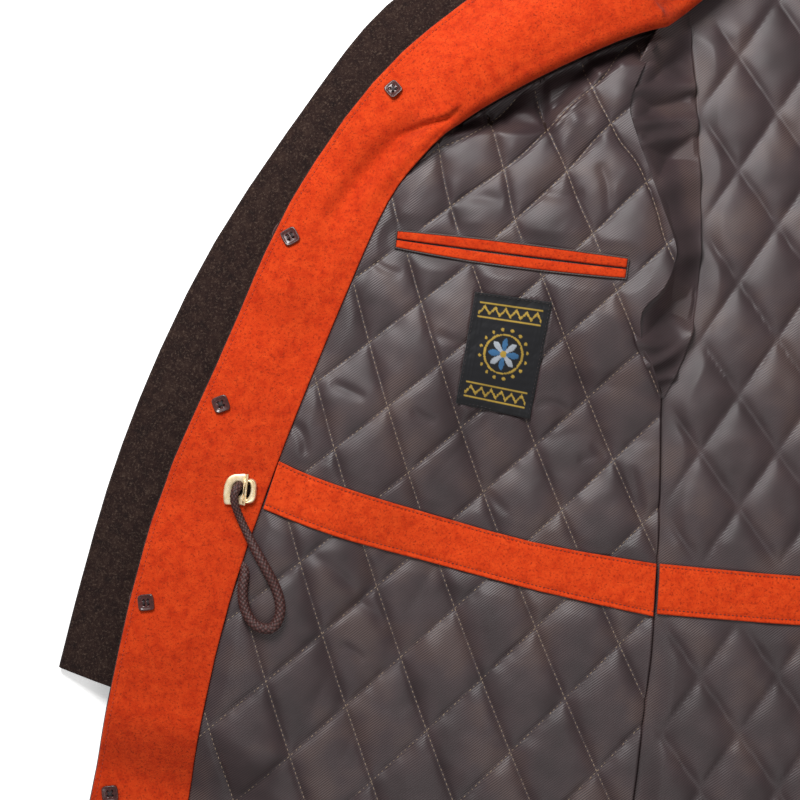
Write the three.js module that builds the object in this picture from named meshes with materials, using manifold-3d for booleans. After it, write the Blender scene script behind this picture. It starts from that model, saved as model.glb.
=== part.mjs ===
// A loden coat laid on its back with its right front thrown open, in millimetres and +Z up.
// X runs across the coat towards the wearer's left, Y from hem to neck, Z is the height over the table.
import * as THREE from 'three';
import Module from 'manifold-3d';

const wasm = await Module();
wasm.setup();

// Cloth thicknesses and fits
const LODEN = 2.5;
const FELT = 2.0;
const SATIN = 1.2; // lining and its wadding, pressed flat at a quilting seam
const PIPING = 1.0;
const WOVEN = 0.8;
const GAP = 0.3; // between pieces that touch
const PUFF = 4.5; // rise of the wadding in the middle of a quilted diamond
const BACK_PUFF = 3.6;
const FLATNESS = 0.002; // faces that lie this flat to each other are one
const HEM_TURN = 24; // the lining ends this far above the hem

// Main sizes of the coat
const NECK_HALF = 90;
const NECK_SIDE_Y = 940;
const NAPE_Y = 920;
const SHOULDER_X = 235;
const SHOULDER_Y = 895;
const UNDERARM_X = 222;
const UNDERARM_Y = 578;
const HEM_X = 283;
const COLLAR_HEIGHT = 48;
const COLLAR_DROOP = 0.5; // its free edge hangs to this share of the neck edge's height
const COLLAR_LOW = 6.2; // least height of the left half's neck edge
const COLLAR_REST = 8.6; // the left half lies over the back's collar and lining
const COLLAR_INSET = 0.03; // share of the height that the felt keeps from both edges

// Heights of what lies rounded
const SLEEVE_RISE = 14; // fullness of a sleeve between its edges
const SLEEVE_EDGE = 6.0; // height of a sleeve's folded edge
const SLEEVE_FALL = 30; // the front drops to the table over this width beside the sleeve
const ROUNDING = 62; // distance from an edge over which cloth rises to its full height
const BUTTON_LIFT = 4.6; // an outer button under the right front
const ROLL_RISE = 20; // roll of the facing where the front turns at the chest
const ROLL_AT = 26; // distance of the crest of the roll from its inner edge
const ROLL_WIDTH = 20;
const ROLL_END = { x: -372, y: 960 }; // it has died away there, in x at the first button and in y at the neck
const ROLL_FADE = { x: 75, y: 110 }; // over these widths
const BUTTON_REACH = { near: 34, fall: 50 }; // cloth lies level over a button, then falls to the layer below
const LEFT_RISE = 13; // hollow under the left front
const LEFT_EDGE = 3.3; // underside of the left front and sleeve at a sewn edge
const SHOULDER_LIFT = 4.6; // back and lining under the top of the right front
const SHOULDER_START = { x: -330, y: 735 }; // beyond this corner the front lies over the shoulder
const SHOULDER_SLOPE = { x: 50, y: 40 };

// Outlines: each row is a point that the edge runs through
const frontEdge = [
  { x: -287, y: 866 }, { x: -349, y: 824 }, { x: -405, y: 774 }, { x: -457, y: 699 }, { x: -502, y: 599 },
  { x: -544, y: 499 }, { x: -579, y: 349 }, { x: -602, y: 230 }, { x: -626, y: 112 },
];
const facingSeam = [
  { x: -221, y: 809 }, { x: -253, y: 799 }, { x: -307, y: 774 }, { x: -349, y: 749 }, { x: -376, y: 724 },
  { x: -395, y: 699 }, { x: -418, y: 649 }, { x: -459, y: 549 }, { x: -494, y: 449 }, { x: -517, y: 349 },
  { x: -536, y: 235 }, { x: -560, y: 91 },
];
const rollToNeck = [
  { x: -NECK_HALF, y: NECK_SIDE_Y }, { x: -134, y: 893 }, { x: -178, y: 845 }, { x: -221, y: 809 },
];
const rightHem = [{ x: -626, y: 112 }, { x: -520, y: 72 }, { x: -400, y: 32 }, { x: -HEM_X, y: 0 }];
const rightSide = [
  { x: -UNDERARM_X, y: UNDERARM_Y }, { x: -225, y: 450 }, { x: -239, y: 326 }, { x: -262, y: 160 },
  { x: -HEM_X, y: 0 },
];
const rightArmhole = [
  { x: -221, y: 809 }, { x: -236, y: 775 }, { x: -240, y: 700 }, { x: -236, y: 625 },
  { x: -UNDERARM_X, y: UNDERARM_Y },
];
const rightNeck = [
  { x: -287, y: 866 }, { x: -230, y: 878 }, { x: -160, y: 902 }, { x: -NECK_HALF, y: NECK_SIDE_Y },
];
const backArmhole = [
  { x: -SHOULDER_X, y: SHOULDER_Y }, { x: -207, y: 820 }, { x: -199, y: 700 }, { x: -204, y: 620 },
  { x: -UNDERARM_X, y: UNDERARM_Y },
];
const backNeck = [{ x: -NECK_HALF, y: NECK_SIDE_Y }, { x: -48, y: 926 }, { x: 0, y: NAPE_Y }];
const sleeveOuter = [
  { x: -SHOULDER_X, y: SHOULDER_Y }, { x: -300, y: 884 }, { x: -350, y: 858 }, { x: -397, y: 825 },
  { x: -439, y: 774 }, { x: -506, y: 674 }, { x: -554, y: 574 }, { x: -582, y: 490 }, { x: -604, y: 405 },
];
const sleeveInner = [
  { x: -452, y: 357 }, { x: -417, y: 438 }, { x: -380, y: 505 }, { x: -350, y: 545 }, { x: -320, y: 570 },
  { x: -275, y: 585 }, { x: -UNDERARM_X, y: UNDERARM_Y },
];
const leftNeck = [
  { x: NECK_HALF, y: NECK_SIDE_Y }, { x: 78, y: 898 }, { x: 38, y: 864 }, { x: -35, y: 850 },
];
const leftEdge = [{ x: -35, y: 850 }, { x: -40, y: 430 }, { x: -47, y: 0 }];
const casingTop = [
  { x: -463, y: 537 }, { x: -441, y: 527 }, { x: -388, y: 509 }, { x: -304, y: 485 }, { x: -224.6, y: 471 },
];
const casingFoot = [
  { x: -473, y: 507 }, { x: -432, y: 491 }, { x: -388, y: 477.5 }, { x: -301, y: 454 },
  { x: -226.6, y: 437.5 },
];
const backCasingTop = [{ x: -222.4, y: 471 }, { x: -120, y: 462 }, { x: 0, y: 458 }, { x: 200, y: 462 }];
const backCasingFoot = [{ x: -224.4, y: 439 }, { x: -120, y: 431 }, { x: 0, y: 427 }, { x: 200, y: 431 }];

// Small pieces on the inside
const pocket = {
  x: -317.5, y: 665.5, turn: -0.119, length: 147, height: 14.4, slit: 0.8, sag: 1.4, piping: 1.6,
};
const label = [{ x: -340.6, y: 642.5 }, { x: -292.5, y: 636 }, { x: -305.6, y: 563 }, { x: -352.5, y: 573 }];
const buttons = [
  { x: -393, y: 770, turn: 0.7 }, { x: -456, y: 677, turn: 0.49 }, { x: -499, y: 572.5, turn: 0.35 },
  { x: -545.6, y: 449, turn: 0.12 }, { x: -571, y: 326, turn: 0.1 }, { x: -595, y: 203, turn: 0.15 },
];
const BACKING_SIDE = 10.8;
const BACKING_ROUND = 2.4;
const BACKING_THICK = 2.0;
const THREAD_HOLE = 0.8; // radius
const THREAD_PITCH = 2.6;
const OUTER_BUTTON_RADIUS = 12;
const lock = { x: -487, y: 518.5, turn: -0.1, width: 21, height: 19, thick: 2.6, thumb: 4.2, hole: 3.2 };

// The drawcord's route, from the lock down to its loop and back under the facing
const CORD_RADIUS = 3;
const cordRoute = [
  [-488.8, 523.0, 34.7], [-491.0, 516.3, 34.5], [-490.6, 509.4, 33.9], [-488.0, 501.6, 31.6],
  [-481.8, 490.6, 31.8], [-474.4, 478.1, 33.2], [-466.9, 465.6, 30.7], [-461.9, 453.8, 29.9],
  [-461.3, 443.1, 30.8], [-465.6, 433.8, 30.9], [-473.1, 431.3, 30.0], [-481.3, 436.9, 29.8],
  [-485.4, 448.8, 30.6], [-485.2, 461.3, 31.0], [-482.0, 473.1, 32.0],
];

// The quilting: seams of two families cross at origin + i * a + j * b, with gentle bends in the right front
const frontQuilt = {
  origin: { x: -362.5, y: 597.5 }, a: { x: 12.6, y: -39.4 }, b: { x: -32.6, y: -26.8 },
  bendA: { x: 0.68, y: -0.62 }, bendB: { x: -0.21, y: 0.09 }, bendAB: { x: -0.41, y: -1.5 },
  i: { from: -16, to: 20 }, j: { from: -13, to: 15 },
  steadyI: { from: -5, to: 8 }, steadyJ: { from: -6, to: 7 },
};
const backQuilt = {
  origin: { x: 0, y: 470 }, a: { x: 24.6, y: -35.9 }, b: { x: -24.6, y: -35.9 },
  bendA: { x: 0, y: 0 }, bendB: { x: 0, y: 0 }, bendAB: { x: 0, y: 0 },
  i: { from: -15, to: 15 }, j: { from: -15, to: 15 },
  steadyI: { from: -15, to: 15 }, steadyJ: { from: -15, to: 15 },
};
// The plain cloth of the left side is worked out on squares of this size
const PLAIN_STEP = 46;
const plainGrid = {
  origin: { x: -70, y: 1000 }, a: { x: 0, y: -PLAIN_STEP }, b: { x: PLAIN_STEP, y: 0 },
  bendA: { x: 0, y: 0 }, bendB: { x: 0, y: 0 }, bendAB: { x: 0, y: 0 },
  i: { from: 0, to: 23 }, j: { from: 0, to: 16 }, steadyI: { from: 0, to: 23 }, steadyJ: { from: 0, to: 16 },
};

// Colours and finishes
function paint(color, roughness, metalness = 0) {
  return new THREE.MeshStandardMaterial({ color, roughness, metalness });
}
const lodenPaint = paint(0x3a2d27, 0.95);
const feltPaint = paint(0xe04a18, 0.92);
const satinPaint = paint(0x6a5f5c, 0.45);
const pipingPaint = paint(0x5d5350, 0.55);
const labelPaint = paint(0x14161f, 0.7);
const buttonPaint = paint(0x4a3430, 0.35);
const brassPaint = paint(0xb9a582, 0.3, 1);
const cordPaint = paint(0x33211c, 0.85);

const coat = new THREE.Group();
coat.name = 'loden_coat';

// Plan geometry
const clamp = (value, low, high) => Math.min(high, Math.max(low, value));

// A smooth edge through the rows, with the given number of short sides between two rows
function edge(rows, sides = 3) {
  const curve = new THREE.SplineCurve(rows.map((row) => new THREE.Vector2(row.x, row.y)));
  return curve.getPoints(sides * (rows.length - 1));
}

const mirrored = (points) => points.map((p) => new THREE.Vector2(-p.x, p.y)).reverse();
const backwards = (points) => [...points].reverse();

// One closed outline from several edges, without doubled points where two meet and those on a straight run
function outline(...edges) {
  const points = edges.flat().filter((p, k, all) => p.distanceTo(all[(k + 1) % all.length]) > 0.5);
  return points.filter((p, k) => {
    const [before, after] = [points.at(k - 1), points[(k + 1) % points.length]];
    return Math.abs(p.clone().sub(before).cross(after.clone().sub(before))) > 0.02;
  });
}

// The edge moved sideways by a distance, to its left as it runs, with its corners mitred
function offset(points, distance) {
  const sideways = (p, q) => new THREE.Vector2(p.y - q.y, q.x - p.x).normalize();
  return points.map((p, k) => {
    const before = k > 0 ? sideways(points[k - 1], p) : sideways(p, points[k + 1]);
    const after = k < points.length - 1 ? sideways(p, points[k + 1]) : before;
    const mitre = before.clone().add(after).multiplyScalar(distance / (1 + before.dot(after)));
    return p.clone().add(mitre);
  });
}

function distanceTo(points, x, y) {
  let best = Infinity;
  for (let k = 1; k < points.length; k += 1) {
    const [p, q] = [points[k - 1], points[k]];
    const [dx, dy] = [q.x - p.x, q.y - p.y];
    const t = clamp(((x - p.x) * dx + (y - p.y) * dy) / (dx * dx + dy * dy), 0, 1);
    best = Math.min(best, Math.hypot(x - p.x - t * dx, y - p.y - t * dy));
  }
  return best;
}

function within(points, x, y) {
  let inside = false;
  points.forEach((p, k) => {
    const q = points[(k + 1) % points.length];
    if ((p.y > y) !== (q.y > y) && x < p.x + ((y - p.y) / (q.y - p.y)) * (q.x - p.x)) inside = !inside;
  });
  return inside;
}

// 0 at an edge, 1 from its full width on, level there
const rounded = (share) => 1 - (1 - clamp(share, 0, 1)) ** 2;

// Where seams i and j of a quilting cross; its bends grow only over the steady range
function crossing(quilt, i, j) {
  const u = clamp(i, quilt.steadyI.from, quilt.steadyI.to);
  const v = clamp(j, quilt.steadyJ.from, quilt.steadyJ.to);
  const along = (axis) => quilt.origin[axis] + i * quilt.a[axis] + j * quilt.b[axis]
    + quilt.bendA[axis] * u * (2 * i - u) + quilt.bendB[axis] * v * (2 * j - v) + quilt.bendAB[axis] * u * v;
  return { x: along('x'), y: along('y') };
}

// Points of a quilting with a second row of points halfway, so that each diamond gets a middle
function quiltPoints(quilt) {
  const { i, j } = quilt;
  const [rows, columns] = [2 * (i.to - i.from) + 1, 2 * (j.to - j.from) + 1];
  const crossings = [];
  for (let k = 0; k < rows; k += 1) {
    crossings.push([]);
    for (let l = 0; l < columns; l += 1) {
      const [kLow, lLow] = [k - (k % 2), l - (l % 2)];
      const [kHigh, lHigh] = [k + (k % 2), l + (l % 2)];
      const first = crossing(quilt, i.from + kLow / 2, j.from + lLow / 2);
      const second = crossing(quilt, i.from + kHigh / 2, j.from + lHigh / 2);
      crossings[k].push({ first, second, x: (first.x + second.x) / 2, y: (first.y + second.y) / 2,
        middle: k % 2 === 1 && l % 2 === 1 });
    }
  }
  return crossings;
}

const grids = new Map([frontQuilt, backQuilt, plainGrid].map((quilt) => [quilt, quiltPoints(quilt)]));

// A layer of cloth over a whole quilting grid, between two heights. Heights are taken at the crossings and
// run straight between them, so that layers on one grid never cut each other; puff raises each middle's top.
function layer(quilt, bottom, top, { fine = false, puff = () => 0, puffBelow = () => 0 } = {}) {
  const grid = grids.get(quilt);
  const step = fine ? 1 : 2;
  const rows = Math.floor((grid.length - 1) / step) + 1;
  const columns = Math.floor((grid[0].length - 1) / step) + 1;
  const mean = (height, p) => (height(p.first.x, p.first.y) + height(p.second.x, p.second.y)) / 2;
  const positions = [];
  for (const above of [false, true]) {
    for (let k = 0; k < rows; k += 1) {
      for (let l = 0; l < columns; l += 1) {
        const p = grid[k * step][l * step];
        const extra = p.middle ? (above ? puff : puffBelow)(p.x, p.y) : 0;
        positions.push(p.x, p.y, mean(above ? top : bottom, p) + extra);
      }
    }
  }
  const index = (k, l, above) => (above ? rows * columns : 0) + k * columns + l;
  const faces = [];
  const face = (a, b, c) => faces.push(a, b, c);
  const both = (p, q, r) => {
    face(index(...p, true), index(...q, true), index(...r, true));
    face(index(...p, false), index(...r, false), index(...q, false));
  };
  const width = fine ? 2 : 1;
  for (let k = 0; k + width < rows; k += width) {
    for (let l = 0; l + width < columns; l += width) {
      if (fine) {
        const ring = [[0, 0], [1, 0], [2, 0], [2, 1], [2, 2], [1, 2], [0, 2], [0, 1]];
        ring.forEach(([dk, dl], n) => {
          const [ek, el] = ring[(n + 1) % ring.length];
          both([k + 1, l + 1], [k + dk, l + dl], [k + ek, l + el]);
        });
      } else {
        both([k, l], [k + 1, l], [k + 1, l + 1]);
        both([k, l], [k + 1, l + 1], [k, l + 1]);
      }
    }
  }
  const rim = [];
  for (let k = 0; k < rows - 1; k += 1) rim.push([k, 0]);
  for (let l = 0; l < columns - 1; l += 1) rim.push([rows - 1, l]);
  for (let k = rows - 1; k > 0; k -= 1) rim.push([k, columns - 1]);
  for (let l = columns - 1; l > 0; l -= 1) rim.push([0, l]);
  rim.forEach((p, n) => {
    const q = rim[(n + 1) % rim.length];
    face(index(...p, true), index(...p, false), index(...q, false));
    face(index(...p, true), index(...q, false), index(...q, true));
  });
  return solid(positions, faces);
}

// A closed body from points and faces, turned right side out if it was made inside out
function solid(positions, faces) {
  const make = (triVerts) => new wasm.Manifold(new wasm.Mesh({
    numProp: 3, vertProperties: new Float32Array(positions), triVerts: new Uint32Array(triVerts),
  }));
  let volume = 0;
  const corner = (k) => new THREE.Vector3(...positions.slice(3 * k, 3 * k + 3));
  for (let k = 0; k < faces.length; k += 3) {
    volume += corner(faces[k]).dot(corner(faces[k + 1]).cross(corner(faces[k + 2])));
  }
  if (volume > 0) return make(faces);
  const turned = [];
  for (let k = 0; k < faces.length; k += 3) turned.push(faces[k], faces[k + 2], faces[k + 1]);
  return make(turned);
}

// An upright block with the outline, cut through by the holes
function prism(points, low, high, holes = []) {
  const plan = new THREE.Shape(points);
  plan.holes = holes.map((hole) => new THREE.Path(hole));
  const flat = THREE.ShapeUtils;
  const { shape, holes: cuts } = plan.extractPoints(1);
  const ring = flat.isClockWise(shape) ? backwards(shape) : shape;
  const inner = cuts.map((cut) => (flat.isClockWise(cut) ? cut : backwards(cut)));
  const all = [ring, ...inner].flat();
  const count = all.length;
  const positions = [low, high].flatMap((z) => all.flatMap((p) => [p.x, p.y, z]));
  const faces = [];
  for (const [a, b, c] of flat.triangulateShape(ring, inner)) {
    faces.push(a + count, b + count, c + count, a, c, b);
  }
  let start = 0;
  for (const loop of [ring, ...inner]) {
    loop.forEach((_, k) => {
      const [p, q] = [start + k, start + ((k + 1) % loop.length)];
      faces.push(p, q, q + count, p, q + count, p + count);
    });
    start += loop.length;
  }
  return solid(positions, faces);
}

function geometryOf(body) {
  const mesh = body.simplify(FLATNESS).getMesh();
  const geometry = new THREE.BufferGeometry();
  geometry.setAttribute('position', new THREE.BufferAttribute(new Float32Array(mesh.vertProperties), 3));
  geometry.setIndex(new THREE.BufferAttribute(new Uint32Array(mesh.triVerts), 1));
  geometry.computeVertexNormals();
  return geometry;
}

function add(name, material, body) {
  const mesh = new THREE.Mesh(geometryOf(body), material);
  mesh.name = name;
  coat.add(mesh);
}

const TALL = 200; // higher than anything here, for cutting straight through

// A piece of cloth: the layer between two heights, cut to its outline
function cut(points, cloth, holes = []) {
  return prism(points, -TALL, TALL, holes).intersect(cloth);
}

// Edges used by several pieces
const line = {
  front: edge(frontEdge), facing: edge(facingSeam), roll: edge(rollToNeck), hem: edge(rightHem),
  side: edge(rightSide), armhole: edge(rightArmhole), neck: edge(rightNeck), backArmhole: edge(backArmhole),
  backNeck: edge(backNeck), outer: edge(sleeveOuter), inner: edge(sleeveInner), leftNeck: edge(leftNeck),
  leftEdge: edge(leftEdge, 4),
};
const at = (x, y) => new THREE.Vector2(x, y);
const shoulder = [at(-NECK_HALF, NECK_SIDE_Y), at(-170, 918), at(-SHOULDER_X, SHOULDER_Y)];

// The sleeve's plan goes on past the cuff, where only its height is wanted
const CUFF_RUN = at(-0.25, -0.97).multiplyScalar(55);
const pastCuff = [line.outer.at(-1).clone().add(CUFF_RUN), line.inner[0].clone().add(CUFF_RUN)];
const sleeveReach = outline(line.outer, pastCuff, line.inner, backwards(line.backArmhole));
const outerReach = [...line.outer, pastCuff[0]];
const innerReach = [pastCuff[1], ...line.inner];

// Height of a sleeve's upper side: full between its edges, low at them, falling away outside
function sleeveTop(x, y) {
  const near = Math.min(distanceTo(outerReach, x, y), distanceTo(innerReach, x, y));
  if (within(sleeveReach, x, y)) return SLEEVE_EDGE + SLEEVE_RISE * rounded(near / ROUNDING);
  return Math.max(SLEEVE_EDGE - (SLEEVE_EDGE + GAP) * (near / SLEEVE_FALL), -GAP);
}

// Roll of the facing: a rounded bank beside its inner edge at the chest, fading towards the first button. The
// facing is on the upper side of a slanting line through the seam's top.
const FACING_SLANT = 0.42;
function rollHeight(x, y) {
  const seam = [...line.roll, ...line.facing.slice(1, 10)];
  const away = distanceTo(seam, x, y);
  const [top] = line.facing;
  const onFacing = y - top.y + 12 > FACING_SLANT * (x - top.x) || x < -300;
  const across = onFacing ? away - ROLL_AT : -away - ROLL_AT;
  const fade = rounded((x - ROLL_END.x) / ROLL_FADE.x) * rounded((ROLL_END.y - y) / ROLL_FADE.y);
  return ROLL_RISE * fade * Math.exp(-((across / ROLL_WIDTH) ** 2) / 2);
}

function buttonLift(x, y) {
  const near = Math.min(...buttons.map((button) => Math.hypot(x - button.x, y - button.y)));
  return BUTTON_LIFT * (1 - rounded((near - BUTTON_REACH.near) / BUTTON_REACH.fall));
}

function shoulderLift(x, y) {
  const [up, across] = [(y - SHOULDER_START.y) / SHOULDER_SLOPE.y, (x - SHOULDER_START.x) / SHOULDER_SLOPE.x];
  return (SHOULDER_LIFT + GAP) * rounded(up) * rounded(across);
}

// Heights of the right front, from the table up
const frontRest = (x, y) => Math.max(sleeveTop(x, y) + GAP, shoulderLift(x, y), 0);
const frontUnder = (x, y) => frontRest(x, y) + buttonLift(x, y) + rollHeight(x, y);
const frontOver = (x, y) => frontUnder(x, y) + LODEN;
const inner = (x, y) => frontOver(x, y) + GAP;
const facingOver = (x, y) => inner(x, y) + FELT;
const liningOver = (x, y) => inner(x, y) + SATIN;
const upBy = (height, more) => (x, y) => height(x, y) + more;

const facingOutline = outline(offset(line.front, 1), backwards(line.facing), backwards(line.roll),
  backwards(line.neck));
const frontOutline = outline(line.front, line.hem, offset(backwards(line.side), GAP / 2),
  backwards(line.armhole), backwards(line.roll), backwards(line.neck));

// Wadding is pressed flat under the casing, the pocket and the label and thins out at the panel's edges
const casingMiddle = edge(casingTop).map((p, k) => p.clone().add(edge(casingFoot)[k]).multiplyScalar(0.5));
const pocketEnds = [-1, 1].map((side) => at(
  pocket.x + side * Math.cos(pocket.turn) * pocket.length / 2,
  pocket.y + side * Math.sin(pocket.turn) * pocket.length / 2));
const labelOutline = label.map((row) => at(row.x, row.y));
const share = (distance, low, high) => clamp((distance - low) / (high - low), 0, 1);
function frontPuff(x, y) {
  const [band, mouth] = [distanceTo(casingMiddle, x, y), distanceTo(pocketEnds, x, y)];
  const flat = Math.min(share(band, 8, 26), share(mouth, 2, 14), share(distanceTo(line.facing, x, y), -4, 10),
    within(labelOutline, x, y) ? 0.45 : 1);
  return PUFF * flat;
}

function rightSleeve() {
  const under = prism(outline(line.outer, line.inner, offset(backwards(line.backArmhole), GAP)), 0, LODEN);
  add('right_sleeve_under', lodenPaint, under);
  const upper = layer(frontQuilt, upBy(sleeveTop, -LODEN), sleeveTop);
  const end = [...backwards(line.armhole).slice(0, -3), at(-SHOULDER_X, SHOULDER_Y)];
  add('right_sleeve_upper', lodenPaint, cut(outline(line.outer, line.inner, end), upper));
}

// Lining seen in the armhole: soft upright folds on the sleeve's under side
const armholeFolds = [
  { y: 610, rise: 2 }, { y: 655, rise: 8 }, { y: 700, rise: 4 }, { y: 742, rise: 9 }, { y: 790, rise: 5 },
];
function sleeveLining() {
  const open = (p) => p.y > UNDERARM_Y + 14 && p.y < 812;
  const backSide = offset(backwards(line.backArmhole), 0.8);
  const hollow = outline(offset(line.armhole, 0.5).filter(open), backSide.filter(open));
  const rise = (x, y) => armholeFolds.reduce((sum, fold) => sum
    + fold.rise * Math.exp(-(((y - fold.y - 0.5 * (x + 220)) / 16) ** 2)), 0);
  const bottom = () => LODEN + GAP;
  const cloth = layer(frontQuilt, bottom, (x, y) => bottom() + SATIN + rise(x, y));
  add('right_sleeve_lining', satinPaint, cut(hollow, cloth));
}

function rightFront() {
  add('right_front', lodenPaint, cut(frontOutline, layer(frontQuilt, frontUnder, frontOver)));
  add('right_facing', feltPaint, cut(facingOutline, layer(frontQuilt, inner, facingOver)));
  const foot = line.facing.at(-1);
  const corner = at(foot.x + GAP + 4, foot.y + HEM_TURN);
  const hemLine = [corner, at(-400, 32 + HEM_TURN), at(-HEM_X + 6, HEM_TURN)];
  const seam = offset(line.facing, GAP).filter((p) => p.y > foot.y + HEM_TURN + 4);
  const sideSeam = offset(backwards(line.side).slice(2), 1);
  const lining = outline(seam, hemLine, sideSeam, backwards(line.armhole).slice(0, -1));
  const quilted = layer(frontQuilt, inner, liningOver, { fine: true, puff: frontPuff });
  add('right_lining', satinPaint, cut(lining, quilted));
}

// A thin piece that lies on the right lining and follows its quilting
function onLining(name, material, points, thickness, holes) {
  const cloth = layer(frontQuilt, upBy(liningOver, GAP), upBy(liningOver, GAP + thickness), {
    fine: true, puff: frontPuff, puffBelow: frontPuff,
  });
  add(name, material, cut(points, cloth, holes));
}

// A bar along the pocket, between two distances from its middle line, with the mouth's slight sag
function pocketBar(low, high, extra = 0) {
  const half = pocket.length / 2 + extra;
  const place = (along, across) => {
    const up = across - pocket.sag * (1 - (along / half) ** 2);
    return at(
      pocket.x + along * Math.cos(pocket.turn) - up * Math.sin(pocket.turn),
      pocket.y + along * Math.sin(pocket.turn) + up * Math.cos(pocket.turn));
  };
  const stations = [-1, -0.5, 0, 0.5, 1].map((part) => part * half);
  return [...stations.map((s) => place(s, low)), ...stations.reverse().map((s) => place(s, high))];
}

function breastPocket() {
  const [half, slit] = [pocket.height / 2, pocket.slit / 2];
  onLining('pocket_welt_upper', feltPaint, pocketBar(slit, half), FELT);
  onLining('pocket_welt_lower', feltPaint, pocketBar(-half, -slit), FELT);
  const frame = pocketBar(-half - pocket.piping, half + pocket.piping, pocket.piping);
  onLining('pocket_piping', pipingPaint, frame, PIPING, [pocketBar(-half - GAP, half + GAP, GAP)]);
}

function casing() {
  onLining('waist_casing_front', feltPaint, outline(edge(casingTop), backwards(edge(casingFoot))), FELT);
}

// Square with rounded corners about a point
function roundedSquare(centre, width, height, radius, turn) {
  const points = [];
  [[1, 1], [-1, 1], [-1, -1], [1, -1]].forEach(([sx, sy], quarter) => {
    for (const part of [0, 0.5, 1]) {
      const angle = (quarter + part) * Math.PI / 2;
      const x = sx * (width / 2 - radius) + radius * Math.cos(angle);
      const y = sy * (height / 2 - radius) + radius * Math.sin(angle);
      points.push(at(centre.x + x * Math.cos(turn) - y * Math.sin(turn),
        centre.y + x * Math.sin(turn) + y * Math.cos(turn)));
    }
  });
  return points;
}

function disc(centre, radius, sides) {
  return Array.from({ length: sides }, (_, k) => {
    const angle = (k / sides) * 2 * Math.PI;
    return at(centre.x + radius * Math.cos(angle), centre.y + radius * Math.sin(angle));
  });
}

function buttonPairs() {
  const backing = layer(frontQuilt, upBy(facingOver, GAP), upBy(facingOver, GAP + BACKING_THICK));
  const outer = layer(frontQuilt, frontRest, upBy(frontUnder, -GAP));
  buttons.forEach((button, n) => {
    const holes = [[1, 1], [-1, 1], [-1, -1], [1, -1]].map(([sx, sy]) => {
      const [x, y] = [sx * THREAD_PITCH / 2, sy * THREAD_PITCH / 2];
      const centre = { x: button.x + x * Math.cos(button.turn) - y * Math.sin(button.turn),
        y: button.y + x * Math.sin(button.turn) + y * Math.cos(button.turn) };
      return disc(centre, THREAD_HOLE, 6);
    });
    const square = roundedSquare(button, BACKING_SIDE, BACKING_SIDE, BACKING_ROUND, button.turn);
    add(`backing_button_${n + 1}`, buttonPaint, cut(square, backing, holes));
    add(`outer_button_${n + 1}`, buttonPaint, cut(disc(button, OUTER_BUTTON_RADIUS, 20), outer));
  });
}

function cordLock() {
  const body = layer(frontQuilt, upBy(facingOver, GAP), upBy(facingOver, GAP + lock.thick));
  const plan = roundedSquare(lock, lock.width, lock.height, 3, lock.turn);
  const eye = { x: lock.x - 4.6, y: lock.y + 2.6 };
  add('cord_lock_body', brassPaint, cut(plan, body, [disc(eye, lock.hole, 12)]));
  const high = GAP + lock.thick + GAP;
  const thumb = layer(frontQuilt, upBy(facingOver, high), upBy(facingOver, high + lock.thumb));
  const seat = { x: lock.x + 6.5, y: lock.y };
  add('cord_lock_thumb', brassPaint, cut(roundedSquare(seat, 8.4, 17, 2.6, lock.turn), thumb));
}

function drawcord() {
  const path = new THREE.CatmullRomCurve3(cordRoute.map((p) => new THREE.Vector3(...p)));
  const section = new THREE.Shape(disc({ x: 0, y: 0 }, CORD_RADIUS, 8));
  const tube = new THREE.ExtrudeGeometry(section, { steps: 28, extrudePath: path, curveSegments: 1 });
  const mesh = new THREE.Mesh(tube, cordPaint);
  mesh.name = 'drawcord';
  coat.add(mesh);
}

// The back and its lining lie flat on the table
const backHem = [at(-HEM_X, 0), at(0, -4), at(HEM_X, 0)];
const neckInwards = backwards(line.backNeck);
const shoulderToHem = [...shoulder, ...line.backArmhole.slice(1), ...line.side.slice(1)];
const backHalf = [...neckInwards, ...shoulderToHem.slice(1)];
const backOutline = outline(offset(backHalf, GAP / 2), backHem, mirrored(offset(backHalf, GAP / 2)));

// Heights of the left side: closed at the seams and sleeve edges, hollow between them, resting along its
// free edge
const leftSide = mirrored(line.side);
const leftClosed = [mirrored(outerReach), mirrored(innerReach), leftSide, mirrored(shoulder)];
const leftReach = outline([at(-90, -60), at(HEM_X + 8, -60)], leftSide, mirrored(line.inner),
  mirrored(pastCuff), mirrored(line.outer), mirrored(shoulder), [at(NECK_HALF, 990), at(-90, 990)]);
const LEFT_REST = 9.2; // on the back lining's quilting
const LEFT_FALL = 5; // drop outside the seams, over the width of SLEEVE_FALL
const FRONT_HANG = 120; // the free edge's height reaches this far into the left front
function leftUnder(x, y) {
  const near = Math.min(...leftClosed.map((points) => distanceTo(points, x, y)));
  const rise = LEFT_RISE * rounded(near / ROUNDING);
  const crown = within(leftReach, x, y) ? rise : -LEFT_FALL * (near / SLEEVE_FALL);
  const fromEdge = x < FRONT_HANG ? Math.max(0, x - leftEdge.at(-1).x) : Infinity;
  return Math.min(LEFT_EDGE + crown, LEFT_REST + LEFT_RISE * rounded(fromEdge / FRONT_HANG));
}

function backPuff(x, y) {
  const shown = (x < -110 && y > 780) || x > 0 ? 0 : 1;
  const seams = Math.min(...leftClosed.map((points) => distanceTo(points, x, y)));
  const band = Math.abs(y - 447 - 0.1 * Math.max(0, -x - 120));
  const edges = Math.min(distanceTo(line.side, x, y), distanceTo(line.backArmhole, x, y));
  return BACK_PUFF * shown * Math.min(share(seams, 40, 90), share(band, 14, 30), share(edges, 4, 16),
    share(NAPE_Y - 20 - y, 0, 30));
}

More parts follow.
